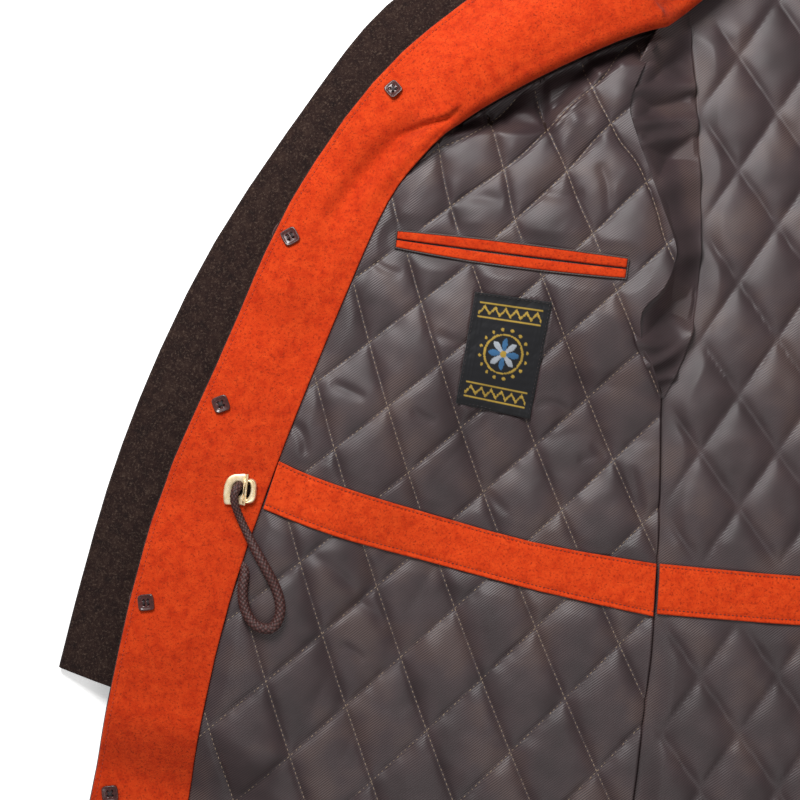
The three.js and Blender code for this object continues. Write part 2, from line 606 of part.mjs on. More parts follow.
function back() {
  add('back', lodenPaint, prism(backOutline, 0, LODEN));
  const low = () => LODEN + GAP;
  const top = () => LODEN + GAP + SATIN;
  const hidden = 24; // under the left front the lining keeps this far from the seams
  const right = offset(backHalf, 2).filter((p) => p.y > HEM_TURN + 4);
  const left = mirrored([...offset(neckInwards, 2).slice(0, -2),
    ...offset(shoulderToHem, hidden).slice(1).filter((p) => p.y > HEM_TURN + 4)]);
  const hem = [at(-HEM_X + 6, HEM_TURN), at(HEM_X - hidden - 6, HEM_TURN)];
  const plan = outline(right, hem, left);
  add('back_lining', satinPaint, cut(plan, layer(backQuilt, low, top, { fine: true, puff: backPuff })));
  const puffs = { fine: true, puff: backPuff, puffBelow: backPuff };
  const felt = layer(backQuilt, upBy(top, GAP), upBy(top, GAP + FELT), puffs);
  const casingPlan = outline(edge(backCasingTop), backwards(edge(backCasingFoot)));
  add('waist_casing_back', feltPaint, cut(casingPlan, felt));
}

function leftSleeveAndFront() {
  const cloth = layer(plainGrid, leftUnder, upBy(leftUnder, LODEN));
  const armhole = mirrored(line.backArmhole);
  const sleeve = outline(line.outer, line.inner, offset(backwards(line.backArmhole), GAP));
  add('left_sleeve_under', lodenPaint, prism(mirrored(sleeve), 0, LODEN));
  add('left_sleeve_upper', lodenPaint, cut(mirrored(sleeve), cloth));
  const front = outline(line.leftNeck, line.leftEdge, [at(120, -3), at(HEM_X, 0)], leftSide, armhole,
    mirrored(shoulder));
  add('left_front', lodenPaint, cut(front, cloth));
}

// A band along a row of stations, each with its inner and outer edge and the height of its underside at both
function band(stations, thickness, lift, inset) {
  const columns = 3;
  const end = columns - 1;
  const positions = [];
  for (const above of [0, thickness]) {
    for (const s of stations) {
      for (let c = 0; c < columns; c += 1) {
        const part = inset + (1 - 2 * inset) * (c / end);
        const z = s.low + (s.high - s.low) * part + lift + above;
        positions.push(s.x + (s.x2 - s.x) * part, s.y + (s.y2 - s.y) * part, z);
      }
    }
  }
  const count = stations.length * columns;
  const under = (k, c) => k * columns + c;
  const over = (k, c) => count + under(k, c);
  const faces = [];
  const quad = (p, q, r, s) => faces.push(p, q, r, p, r, s);
  const last = stations.length - 1;
  for (let k = 0; k < last; k += 1) {
    for (let c = 0; c < end; c += 1) {
      quad(over(k, c), over(k + 1, c), over(k + 1, c + 1), over(k, c + 1));
      quad(under(k, c), under(k, c + 1), under(k + 1, c + 1), under(k + 1, c));
    }
    quad(under(k, 0), under(k + 1, 0), over(k + 1, 0), over(k, 0));
    quad(over(k, end), over(k + 1, end), under(k + 1, end), under(k, end));
  }
  for (let c = 0; c < end; c += 1) {
    quad(under(0, c), over(0, c), over(0, c + 1), under(0, c + 1));
    quad(over(last, c), under(last, c), under(last, c + 1), over(last, c + 1));
  }
  return solid(positions, faces);
}

// Stations of a collar band along a neck edge, with the height of its underside at the neck and at its
// free edge
function collarStations(points, side, low, high) {
  const seam = offset(points, side * GAP);
  const free = offset(points, side * (GAP + COLLAR_HEIGHT));
  return points.map((p, k) => ({
    x: seam[k].x, y: seam[k].y, low: low(p.x, p.y), x2: free[k].x, y2: free[k].y, high: high(p.x, p.y),
  }));
}

function collar() {
  const neck = [...line.neck, ...line.backNeck.slice(1), ...mirrored(line.backNeck).slice(1)];
  const onFront = (x, y) => (x < -NECK_HALF + 1 ? frontUnder(x, y) : 0);
  const droop = (x, y) => COLLAR_DROOP * onFront(x, y);
  const stations = collarStations(neck, 1, onFront, droop);
  add('collar_outer', lodenPaint, band(stations, LODEN, 0, 0));
  add('collar_inner', feltPaint, band(stations, FELT, LODEN + 2 * GAP, COLLAR_INSET));
  const onLeft = (x, y) => Math.max(leftUnder(x, y), COLLAR_LOW);
  const left = collarStations(line.leftNeck.slice(1), -1, onLeft, () => COLLAR_REST);
  add('collar_left', lodenPaint, band(left, LODEN, 0, 0));
}

rightSleeve();
sleeveLining();
rightFront();
breastPocket();
onLining('woven_label', labelPaint, labelOutline, WOVEN);
casing();
buttonPairs();
cordLock();
drawcord();
back();
leftSleeveAndFront();
collar();

// The origin is the middle of the underside's box
const box = new THREE.Box3().setFromObject(coat);
coat.position.set(-(box.min.x + box.max.x) / 2, -(box.min.y + box.max.y) / 2, -box.min.z);

export default coat;
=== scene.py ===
# %% [markdown]
# # A loden coat laid open
#
# The coat lies on its back on a pale table. One front is thrown open, so that its inside shows: an
# orange felt facing, a quilted satin lining, an inner pocket, a woven label and a waist casing with
# its drawcord. The solids give each piece its place and size. This lesson lays the cloth over them:
# every panel is a grid of points whose height is a formula, so folds, seams and quilting are
# numbers that can be read and changed.

import bpy
import numpy as np
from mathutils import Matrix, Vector


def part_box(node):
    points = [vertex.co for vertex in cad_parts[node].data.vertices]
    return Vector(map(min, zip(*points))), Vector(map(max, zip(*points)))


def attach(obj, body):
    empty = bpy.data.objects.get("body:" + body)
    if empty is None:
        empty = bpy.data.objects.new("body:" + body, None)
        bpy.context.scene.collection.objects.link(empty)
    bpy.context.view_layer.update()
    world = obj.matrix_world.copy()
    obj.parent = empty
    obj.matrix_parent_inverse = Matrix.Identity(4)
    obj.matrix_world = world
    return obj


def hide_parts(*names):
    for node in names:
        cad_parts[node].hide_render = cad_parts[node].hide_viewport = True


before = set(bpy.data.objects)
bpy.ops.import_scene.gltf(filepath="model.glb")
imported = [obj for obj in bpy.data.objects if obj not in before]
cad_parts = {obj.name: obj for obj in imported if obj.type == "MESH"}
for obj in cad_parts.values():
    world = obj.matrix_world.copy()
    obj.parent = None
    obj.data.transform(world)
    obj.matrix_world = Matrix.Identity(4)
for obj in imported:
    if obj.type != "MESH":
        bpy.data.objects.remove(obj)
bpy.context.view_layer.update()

HEM_DIP = 4.0  # the back's hem hangs this far below the line y = 0
low_corner, high_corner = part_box("back")
ORIGIN = np.array([(low_corner.x + high_corner.x) / 2, low_corner.y + HEM_DIP / 1000, 0.0])


def to_frame(points):
    """Millimetres on the coat to metres in the shared frame: a thousandth of each, moved by ORIGIN."""
    return np.asarray(points, float) / 1000 + ORIGIN


print("solids loaded:", len(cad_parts), "nodes, origin at", ORIGIN.round(4))

# %% [markdown]
# ## Camera
#
# The photograph is taken from straight above. A long lens keeps the cloth free of perspective, and
# it shows half a metre of the coat, so its distance follows from the lens: distance = width shown x
# focal length / sensor width.

# %% Camera
LENS = 85.0
SENSOR = 36.0
WIDTH_SHOWN = 0.5
CLOTH_HEIGHT = 0.025
VIEW_CENTRE = (-387.5, 575.0, 0.0)

camera_data = bpy.data.cameras.new("camera")
camera_data.lens = LENS
camera_data.sensor_width = SENSOR
camera = bpy.data.objects.new("camera", camera_data)
camera.location = to_frame(VIEW_CENTRE) + [0, 0, CLOTH_HEIGHT + WIDTH_SHOWN * LENS / SENSOR]
bpy.context.scene.collection.objects.link(camera)
bpy.context.scene.camera = camera
print("camera at", [round(value, 3) for value in camera.location])

# %% [markdown]
# ## Curves and distances
#
# A pattern piece is bounded by smooth edges. Each edge is a short table of points with a smooth cubic curve
# through them, the same curve as in the solids. Heights depend on how far a point is from such an edge.

# %% Curves and distances
def edge(rows, sides=3):
    """Cubic curve through all rows. Its slope at a row is half the chord between the rows beside it."""
    p = np.array(rows, float)
    padded = np.vstack([p[:1], p, p[-1:]])
    span = np.repeat(np.arange(len(p) - 1), sides)
    t = np.tile(np.arange(sides) / sides, len(p) - 1)[:, None]
    a, b, c, d = (padded[span + k] for k in range(4))
    start, end = (c - a) / 2, (d - b) / 2
    curve = (2 * b - 2 * c + start + end) * t**3 + (3 * c - 3 * b - 2 * start - end) * t**2 + start * t + b
    return np.vstack([curve, p[-1:]])


def lengths(steps):
    """Length of each row of steps, kept as a column so that it divides them."""
    return np.sqrt((steps**2).sum(1))[:, None]


def places(line):
    """Distance along a line at each of its points: the sum of the steps before it."""
    return np.concatenate([[0], np.cumsum(lengths(np.diff(line, axis=0)))])


def along(line, shares):
    """Points at the given shares of a line's length."""
    line = np.asarray(line, float)
    place = places(line)
    want = np.asarray(shares) * place[-1]
    return np.stack([np.interp(want, place, line[:, k]) for k in range(line.shape[1])], axis=-1)


def distance(line, x, y):
    """Least distance from each point to the straight pieces of a line."""
    best = np.full(np.shape(x), np.inf)
    for p, q in zip(line[:-1], line[1:]):
        d = q - p
        t = np.clip(((x - p[0]) * d[0] + (y - p[1]) * d[1]) / (d @ d + 1e-9), 0, 1)
        best = np.minimum(best, np.hypot(x - p[0] - t * d[0], y - p[1] - t * d[1]))
    return best


def within(line, x, y):
    """True inside a closed line: a ray to the right crosses it an odd number of times."""
    found = np.zeros(np.shape(x), bool)
    for p, q in zip(line, np.roll(line, -1, axis=0)):
        if p[1] != q[1]:
            found ^= ((p[1] > y) != (q[1] > y)) & (x < p[0] + (y - p[1]) / (q[1] - p[1]) * (q[0] - p[0]))
    return found


def rounded(part):
    """0 at 0, 1 from 1 on, level there: 1 - (1 - part)^2."""
    return 1 - (1 - np.clip(part, 0, 1)) ** 2


def smooth(part):
    """0 to 1 with level ends: 3 s^2 - 2 s^3."""
    s = np.clip(part, 0, 1)
    return s * s * (3 - 2 * s)


def share(value, low, high):
    """How far a value has come from low to high, from 0 to 1."""
    return np.clip((value - low) / (high - low), 0, 1)


def mirrored(line):
    """The same line on the coat's other half, run the other way."""
    return line[::-1] * [-1, 1]


def offset(line, gap):
    """The line moved to its left as it runs: each point along the mean of its two sides' normals."""
    step = np.diff(line, axis=0)
    step = step / lengths(step)
    normal = np.stack([-step[:, 1], step[:, 0]], 1)
    before, after = np.vstack([normal[:1], normal]), np.vstack([normal, normal[-1:]])
    return line + gap * (before + after) / (1 + (before * after).sum(1))[:, None]


# %% The coat's edges, in mm
front_edge = edge([(-287, 866), (-349, 824), (-405, 774), (-457, 699), (-502, 599), (-544, 499), (-579, 349),
                   (-602, 230), (-626, 112)])
facing_seam = edge([(-221, 809), (-253, 799), (-307, 774), (-349, 749), (-376, 724), (-395, 699), (-418, 649),
                    (-459, 549), (-494, 449), (-517, 349), (-536, 235), (-560, 91)])
roll_to_neck = edge([(-90, 940), (-134, 893), (-178, 845), (-221, 809)])
right_hem = edge([(-626, 112), (-520, 72), (-400, 32), (-283, 0)])
right_side = edge([(-222, 578), (-225, 450), (-239, 326), (-262, 160), (-283, 0)])
right_armhole = edge([(-221, 809), (-236, 775), (-240, 700), (-236, 625), (-222, 578)])
lining_armhole = edge([(-221, 809), (-243, 765), (-239, 739), (-232, 721), (-222, 692), (-214, 668),
                       (-222, 645), (-236, 630), (-235, 610), (-229, 598), (-222, 578)])
right_neck = edge([(-287, 866), (-230, 878), (-160, 902), (-90, 940)])
back_armhole = edge([(-235, 895), (-207, 820), (-199, 700), (-204, 620), (-222, 578)])
back_neck = edge([(-90, 940), (-48, 926), (0, 920)])
sleeve_outer = edge([(-235, 895), (-300, 884), (-350, 858), (-397, 825), (-439, 774), (-506, 674),
                     (-554, 574), (-582, 490), (-604, 405)])
sleeve_inner = edge([(-452, 357), (-417, 438), (-380, 505), (-350, 545), (-320, 570), (-275, 585),
                     (-222, 578)])
left_neck = edge([(90, 940), (78, 898), (38, 864), (-35, 850)])
left_edge = edge([(-35, 850), (-40, 430), (-47, 0)], 4)
shoulder = np.array([(-90, 940), (-170, 918), (-235, 895)], float)
casing_top = edge([(-463, 537), (-441, 527), (-388, 509), (-304, 485), (-224.6, 471)])
casing_foot = edge([(-473, 507), (-432, 491), (-388, 477.5), (-301, 454), (-226.6, 437.5)])
back_casing_top = edge([(-222.4, 471), (-120, 462), (0, 458), (200, 462)])
back_casing_foot = edge([(-224.4, 439), (-120, 431), (0, 427), (200, 431)])
CUFF_RUN = np.array([-13.75, -53.35])  # the sleeve's height is wanted this far past the cuff
print("facing is", round(float(distance(front_edge, -494.0, 449.0)), 1), "mm wide at the waist")

# %% [markdown]
# ## How high the cloth lies
#
# Nothing here is flat: the open front rests on its sleeve, on the buttons sewn to its outside and, at
# the chest, it rolls over. Each of these is a soft bank whose height depends on the distance to an
# edge, and the layers of cloth are stacked on the sum. Working the layers out from one base keeps them
# from cutting through each other.

# %% Cloth and height of the layers
LODEN = 2.5
FELT = 2.0
SATIN = 1.2
GAP = 0.3
PUFF = 3.6
BUTTONS = np.array([(-391.8, 768.8, 0.7), (-456, 677, 0.49), (-499, 572.5, 0.35), (-545.6, 449, 0.12),
                    (-571, 326, 0.1), (-595, 203, 0.15)])
EDGE_HEIGHT = 6.0  # of a sleeve's folded edge
BULGE = 14.0  # how much higher the sleeve's middle is than its edges
ROLL = 20.0  # height of the roll at the chest
RIDGE = 26.0  # from the roll's seam to its ridge
outer_reach = np.vstack([sleeve_outer, sleeve_outer[-1] + CUFF_RUN])
inner_reach = np.vstack([sleeve_inner[0] + CUFF_RUN, sleeve_inner])
sleeve_plan = np.vstack([outer_reach, inner_reach, back_armhole[::-1]])
chest_seam = np.vstack([roll_to_neck, facing_seam[1:10]])


def troughs(table, x, y):
    """Sum of soft creases: each row is a bent line of three points, its depth and half width in mm. The
    crease falls off as exp(-(distance / width)^2) across it and thins out towards both ends."""
    total = np.zeros(np.shape(x))
    for x0, y0, x1, y1, x2, y2, depth, width in table:
        t = np.linspace(0, 1, 9)[:, None]
        line = (1 - t) ** 2 * [x0, y0] + 2 * t * (1 - t) * [x1, y1] + t**2 * [x2, y2]
        middle = np.array([x0 + 2 * x1 + x2, y0 + 2 * y1 + y2]) / 4
        half = np.hypot(x2 - x0, y2 - y0) / 2 + width
        ends = np.clip(1 - (np.hypot(x - middle[0], y - middle[1]) / half) ** 4, 0, 1)
        total += depth * np.exp(-((distance(line, x, y) / width) ** 2)) * ends
    return total


hollow_rim = edge([(-366, 736), (-345, 739), (-325, 740), (-305, 738.5), (-293, 742), (-281, 754),
                   (-270, 766), (-259, 777), (-243, 782), (-205, 786)])
hollow_plan = np.vstack([hollow_rim, [(-170, 850), (-230, 850), (-300, 810), (-345, 780), (-368, 755)]])


def hollow(x, y):
    """Under the roll the front sinks 14 mm below its rim, and rises again where the facing covers it."""
    covered = 1 - smooth((roll_across(x, y) + 2) / 9)
    return np.where(within(hollow_plan, x, y), -14 * smooth(distance(hollow_rim, x, y) / 15) * covered, 0)


def sleeve_top(x, y, sunk=True):
    """Height of the right sleeve's upper side: 6 mm at its folded edges, 14 mm more towards its middle. It
    comes down to 5 mm at the armhole by the neck, and to nothing 50 mm past the cuff."""
    near = np.minimum(distance(outer_reach, x, y), distance(inner_reach, x, y))
    end = inner_reach[0] - outer_reach[-1]
    before = (end[0] * (y - outer_reach[-1, 1]) - end[1] * (x - outer_reach[-1, 0])) / np.hypot(*end)
    on = EDGE_HEIGHT + BULGE * rounded(near / 62) + (hollow(x, y) if sunk else 0)
    on = on - (on - 5) * (1 - smooth(distance(back_armhole, x, y) / 32)) * smooth((y - 796) / 24)
    high = np.where(within(sleeve_plan, x, y), np.maximum(on, 5),
                    np.maximum(EDGE_HEIGHT - 6.3 * near / 30, -0.3))
    return high * smooth(before / 50)


def roll_across(x, y):
    """Distance from the roll's seam, positive on the facing."""
    away = distance(chest_seam, x, y)
    facing = (y - 797 > 0.42 * (x + 221)) | (x < -300)
    beyond = within(lining_plan, x, y)
    return np.where(facing & ~beyond, away, -away)


def roll_fade(x, y):
    """How full the roll is: none at its left end, and 28% less below a sharp crease that runs down to the
    left and fades out over the last 9 mm before the seam."""
    above = y - 746.6 - 0.04 * (x + 372) - 0.25 * np.minimum(x + 372, 0)
    cut = 0.28 * (1 - smooth((above + 0.4) / 1.6))
    cut = cut * smooth((x + 394) / 26) * smooth(distance(chest_seam, x, y) / 9)
    return rounded((x + 389) / 80) * rounded((960 - y) / 110) * (1 - cut)


def roll_height(x, y):
    """The facing's roll: a bell of 20 mm whose ridge is 26 mm from the seam, cut
    short towards the lining."""
    across = roll_across(x, y)
    bell = np.exp(-(((across - RIDGE) / 20) ** 2) / 2)
    return ROLL * roll_fade(x, y) * np.where(across > RIDGE, bell, smooth((across + 5) / (RIDGE + 5)))


def button_lift(x, y):
    """The outer buttons raise the front by 4.6 mm within 34 mm of them, and less over the next 50 mm."""
    near = np.min([np.hypot(x - bx, y - by) for bx, by, _ in BUTTONS], axis=0)
    return 4.6 * (1 - rounded((near - 34) / 50))


def shoulder_lift(x, y):
    """The layers folded together at the shoulder raise it by 4.9 mm."""
    return 4.9 * rounded((y - 735) / 40) * rounded((x + 330) / 50)


lining_plan = np.vstack([facing_seam, [(-400, 56), (-277, 24)], right_side[::-1], lining_armhole[::-1]])
FRONT_CREASES = [  # x0, y0, x1, y1, x2, y2, depth, width
    (-344, 748, -368, 748, -390, 739, -4.0, 2.4),
    (-381, 744, -406, 724, -430, 688, -7.0, 8.0),
    (-356, 748, -384, 729, -414, 698, 3.4, 7.0),
    (-428, 690, -438, 668, -444, 640, -1.6, 8.0),
    (-434, 640, -446, 610, -462, 585, -1.2, 10),
    (-545, 420, -560, 360, -570, 300, -0.8, 9),
]


def front_under(x, y, sunk=True):
    """Underside of the open front, with the main creases that all of its layers share."""
    rest = np.maximum(np.maximum(sleeve_top(x, y, sunk) + GAP, shoulder_lift(x, y)), 0)
    return np.maximum(rest + button_lift(x, y) + roll_height(x, y) + troughs(FRONT_CREASES, x, y), 0)


roll_line = np.linspace([-300, 760], [-330, 800], 9)
print("heights across the roll, in mm:", front_under(*roll_line.T).round(1))

# %% [markdown]
# ## Uneven cloth
#
# Real cloth is never even, and a repeated wave is noticed at once. Smooth noise helps: random heights at
# the corners of a lattice, blended softly between them. It is seeded, so each run gives the same coat.

# %% Smooth noise
def noise(x, y, size, seed):
    """Value noise from -1 to 1: lattice values one size apart, blended with 3 s^2 -
    2 s^3 in both directions."""
    table = np.random.default_rng(seed).uniform(-1, 1, (64, 64))
    u, v = np.asarray(x) / size, np.asarray(y) / size
    i, j = np.floor(u).astype(int), np.floor(v).astype(int)
    s, t = smooth(u - i), smooth(v - j)
    corner = [table[(i + a) % 64, (j + b) % 64] for a in (0, 1) for b in (0, 1)]
    return (corner[0] * (1 - s) + corner[2] * s) * (1 - t) + (corner[1] * (1 - s) + corner[3] * s) * t


def drape(x, y, seed, height=0.5):
    """Soft unevenness of thick cloth: three sizes of noise, the widest the highest."""
    wide, middle, small = (noise(x, y, size, seed + k) for k, size in enumerate((70, 26, 9)))
    return height * (wide + 0.45 * middle + 0.12 * small)


print("drape varies by", round(float(np.ptp(drape(*np.mgrid[0:300:5.0, 0:300:5.0], 50))), 2), "mm")

# %% [markdown]
# ## From a grid to a mesh
#
# All panels are made the same way. Four edges bound a patch, a blend of them fills it with a grid of
# points, and the grid becomes quads. Extra lines of points near the rim let it turn down, which gives the
# cloth its thick, soft edge. Where the underside can be seen, a second grid closes the piece.

# %% Grids
def spread(length, step, rim=(0.0, 0.5, 1.3, 2.4)):
    """Shares from 0 to 1 of a length in mm: close together at both ends, one step apart between them."""
    rim = np.array(rim)
    count = max(2, int(round((length - 2 * rim[-1]) / step)))
    inner = np.linspace(rim[-1], length - rim[-1], count + 1)
    return np.concatenate([rim[:-1], inner, length - rim[:-1][::-1]]) / length


def patch(top, bottom, left, right, s, t):
    """A grid between four edges: the straight blend of left and right plus that of
    top and bottom, less that of the corners."""
    s, t = np.asarray(s), np.asarray(t)
    head, foot = along(top, t)[None], along(bottom, t)[None]
    near, far = along(left, s)[:, None], along(right, s)[:, None]
    a, b = s[:, None, None], t[None, :, None]
    upper = (1 - b) * head[:, :1] + b * head[:, -1:]
    lower = (1 - b) * foot[:, :1] + b * foot[:, -1:]
    corners = (1 - a) * upper + a * lower
    return (1 - a) * head + a * foot + (1 - b) * near + b * far - corners


def quads(index, wrap=False):
    """Quads between neighbours in a grid of vertex numbers, closed round its second
    axis where wrap is set."""
    if wrap:
        index = np.hstack([index, index[:, :1]])
    return np.stack([index[:-1, :-1], index[1:, :-1], index[1:, 1:], index[:-1, 1:]], -1).reshape(-1, 4)


def make(name, points, faces, material, uv=None, colour_and_painted_shade=None):
    """One mesh object from arrays of points in mm and of faces, ridden and slotted."""
    mesh = bpy.data.meshes.new(name)
    faces = np.asarray(faces, np.int32)
    sides = faces.shape[1]
    mesh.vertices.add(len(points))
    mesh.vertices.foreach_set("co", to_frame(points).ravel().astype(np.float32))
    mesh.loops.add(faces.size)
    mesh.loops.foreach_set("vertex_index", faces.ravel())
    mesh.polygons.add(len(faces))
    mesh.polygons.foreach_set("loop_start", np.arange(len(faces), dtype=np.int32) * sides)
    mesh.polygons.foreach_set("use_smooth", np.ones(len(faces), bool))
    mesh.update(calc_edges=True)
    if uv is not None:
        layer = mesh.uv_layers.new(name="UVMap")
        layer.data.foreach_set("uv", np.asarray(uv, np.float32)[faces.ravel()].ravel())
    if colour_and_painted_shade is not None:
        colour = mesh.color_attributes.new("colour_and_painted_shade", "FLOAT_COLOR", "POINT")
        colour.data.foreach_set("color", np.asarray(colour_and_painted_shade, np.float32).ravel())
    mesh.validate()
    mesh.materials.append(material)
    piece = bpy.data.objects.new(name, mesh)
    bpy.context.scene.collection.objects.link(piece)
    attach(piece, "root")
    print(name, len(faces), "faces")
    return piece


def cloth(name, plan, top, material, under=None, uv=None, colour_and_painted_shade=None):
    """A panel over a plan grid. Its rim is turned down to its mid thickness, or to its foot where it is
    open below. The underside shares the rim's points, so the piece is closed."""
    rows, columns = plan.shape[:2]
    index = np.arange(rows * columns).reshape(rows, columns)
    rim = np.ones((rows, columns), bool)
    rim[1:-1, 1:-1] = False
    low = top - SATIN if under is None else under
    height = np.where(rim, low if under is None else (top + low) / 2, top)
    points = np.dstack([plan, height]).reshape(-1, 3)
    faces = quads(index)
    a, b, c = (points[faces[:, k]] for k in (0, 1, 3))
    if np.cross(b - a, c - a)[:, 2].sum() < 0:
        faces = faces[:, ::-1]
    if under is not None:
        inner = index.copy()
        inner[1:-1, 1:-1] = rows * columns + np.arange(inner[1:-1, 1:-1].size).reshape(rows - 2, -1)
        points = np.vstack([points, np.dstack([plan, under])[1:-1, 1:-1].reshape(-1, 3)])
        below = quads(inner)
        a, b, c = (points[below[:, k]] for k in (0, 1, 3))
        if np.cross(b - a, c - a)[:, 2].sum() > 0:
            below = below[:, ::-1]
        faces = np.vstack([faces, below])
    return make(name, points, faces, material, uv, colour_and_painted_shade)


def ringed(name, rings, made_of, colour_and_painted_shade=None):
    """A mesh from rings of points in a row, each closed round, seen from outside."""
    index = np.arange(rings.shape[0] * rings.shape[1]).reshape(rings.shape[:2])
    return make(name, rings.reshape(-1, 3), quads(index, wrap=True)[:, ::-1], made_of, colour_and_painted_shade=colour_and_painted_shade)


def area_of(piece):
    """Area of one side of a panel in square metres: half of what its faces add up to where it is closed."""
    mesh = piece.data
    sizes = np.zeros(len(mesh.polygons))
    mesh.polygons.foreach_get("area", sizes)
    closed = len(mesh.edges) * 2 == len(mesh.loops)
    return sizes.sum() / (2 if closed else 1)


print("a strip of 100 mm has its points at", (spread(100, 20) * 100).round(1))

# %% [markdown]
# ## Materials: the shared helpers
#
# Colours are written as they look on a screen and turned to linear light by one function. One more adds a
# node, sets it and links it, so that each material reads from top to bottom.

# %% Material helpers
MM = 1000.0  # pattern scales are given in features per metre


def linear(colour):
    """sRGB hex to linear RGBA: each channel c becomes ((c + 0.055) / 1.055)^2.4."""
    c = np.array([int(colour[k:k + 2], 16) for k in (1, 3, 5)]) / 255
    return [*np.where(c <= 0.04045, c / 12.92, ((c + 0.055) / 1.055) ** 2.4), 1.0]


def add(tree, kind, inputs=None, stops=(), **settings):
    """A node with its settings, its inputs set to values or linked to sockets, and
    a ramp's stops of colour."""
    node = tree.nodes.new(kind)
    for key, value in settings.items():
        setattr(node, key, value)
    for key, value in (inputs or {}).items():
        if isinstance(value, bpy.types.NodeSocket):
            tree.links.new(value, node.inputs[key])
        else:
            node.inputs[key].default_value = value
    if stops:
        ends = node.color_ramp.elements
        ends[0].position, ends[0].color = stops[0]
        ends[1].position, ends[1].color = stops[-1]
        for position, colour in stops[1:-1]:
            ends.new(position).color = colour
    return node


def material(name, slot, **surface):
    """An empty material with its shader set, ready for patterns."""
    made = bpy.data.materials.new(name)
    made.use_nodes = True
    shader = made.node_tree.nodes["Principled BSDF"]
    for key, value in surface.items():
        shader.inputs[key.replace("_", " ")].default_value = value
    return made, made.node_tree, shader


print("white is", linear("#ffffff"), "and mid grey", linear("#808080")[0].round(3), "in linear light")

# %% [markdown]
# ## Wool felt and loden
#
# The facing is a thick wool felt in orange. The wool was dyed in two shades before it was carded, and a few
# dark fibres were mixed in, so close up it is a melange: cloudy orange with short dark specks. Loden is
# fulled in the same way, dark brown with paler hairs, and its nap lies down. Both are matte, and both have
# a pale bloom where the light grazes the fuzz, which is what the sheen is for.

# %% Wool melange
def wool(name, slot, dark, base, light, speck, speck_share, sheen):
    """Clouds of a few millimetres choose between the shades, and a finer noise cuts out specks. Felt has a
    fine pebbled surface of about half a millimetre."""
    made, tree, shader = material(name, slot, Roughness=0.95, Sheen_Weight=sheen, Sheen_Roughness=0.45,
                                  Specular_IOR_Level=0.1)
    place = add(tree, "ShaderNodeTexCoord").outputs["Object"]
    cloud = add(tree, "ShaderNodeTexNoise",
                {"Vector": place, "Scale": MM / 7, "Detail": 6.0, "Roughness": 0.74})
    shades = add(tree, "ShaderNodeValToRGB", {"Fac": cloud.outputs["Fac"]},
                 [(0.3, linear(dark)), (0.5, linear(base)), (0.72, linear(light))])
    fibre = add(tree, "ShaderNodeTexNoise",
                {"Vector": place, "Scale": MM / 1.5, "Detail": 4.0, "Roughness": 0.8})
    specks = add(tree, "ShaderNodeValToRGB", {"Fac": fibre.outputs["Fac"]},
                 [(speck_share - 0.13, (1, 1, 1, 1)), (speck_share, (0, 0, 0, 1))])
    mixed = add(tree, "ShaderNodeMix", {"Factor": specks.outputs["Color"], "A": shades.outputs["Color"],
                                        "B": linear(speck)}, data_type="RGBA")
    tree.links.new(mixed.outputs[2], shader.inputs["Base Color"])
    pebble = add(tree, "ShaderNodeTexNoise",
                 {"Vector": place, "Scale": MM / 0.8, "Detail": 3.0, "Roughness": 0.75})
    bump = add(tree, "ShaderNodeBump", {"Height": pebble.outputs["Fac"], "Strength": 0.5, "Distance": 0.0006})
    tree.links.new(bump.outputs["Normal"], shader.inputs["Normal"])
    return made


felt = wool("orange_wool_felt", "felt", "#9c2409", "#b2330f", "#c03f15", "#7f210c", 0.48, 0.03)
# Painted light: the casing's felt is the facing's felt in paler shades, standing in for the brighter light
# that falls on the casing.
felt_painted_lighter = wool("orange_wool_felt_painted_lighter", "felt", "#a92a0b", "#c03a12", "#cf4719", "#8a250e", 0.48, 0.03)
loden = wool("brown_loden", "loden", "#140d0d", "#201412", "#2e211c", "#43362e", 0.47, 0.04)
print("wool:", felt.name, felt_painted_lighter.name, loden.name)

# %% [markdown]
# ## Satin twill
#
# The lining is a viscose twill in grey-brown, woven so that long floats of yarn lie on its face. They show
# as fine diagonal ribs and give a broad silky gloss. The ribs here are 1.3 mm apart, coarser than the real
# ones, so that they show in the render.

# %% Satin twill
RIB = 1.3
RIB_ANGLE = np.radians(36)
WAVE = 0.31416  # a wave texture of scale 1 repeats after this distance, which is 2 pi / 20


def satin(name, slot, groove, dark, base, light, roughness):
    """Ribs are waves along one diagonal of the Object coordinates. Between the ribs the groove colour shows,
    darker partly as warp and weft differ a little in colour and partly as painted shade in the grooves."""
    made, tree, shader = material(name, slot, Roughness=roughness, Specular_IOR_Level=0.4, Sheen_Weight=0.02)
    place = add(tree, "ShaderNodeTexCoord").outputs["Object"]
    turned = add(tree, "ShaderNodeMapping", {"Vector": place, "Rotation": (0, 0, -RIB_ANGLE)})
    ribs = add(tree, "ShaderNodeTexWave", {"Vector": turned.outputs[0], "Scale": WAVE * MM / RIB,
                                           "Distortion": 0.5, "Detail": 1.0, "Detail Scale": 0.6},
               bands_direction="Y")
    cloud = add(tree, "ShaderNodeTexNoise", {"Vector": place, "Scale": MM / 30, "Detail": 2.0})
    shades = add(tree, "ShaderNodeValToRGB", {"Fac": cloud.outputs["Fac"]},
                 [(0.32, linear(dark)), (0.5, linear(base)), (0.66, linear(light))])
    # Painted shade, in part: the rib grooves take the darker groove colour, which is partly the other yarn's
    # own colour.
    ribbed = add(tree, "ShaderNodeMix", {"Factor": ribs.outputs["Fac"], "A": linear(groove),
                                         "B": shades.outputs["Color"]}, data_type="RGBA")
    tree.links.new(ribbed.outputs[2], shader.inputs["Base Color"])
    bump = add(tree, "ShaderNodeBump", {"Height": ribs.outputs["Fac"], "Strength": 0.5, "Distance": 0.0002})
    tree.links.new(bump.outputs["Normal"], shader.inputs["Normal"])
    return made


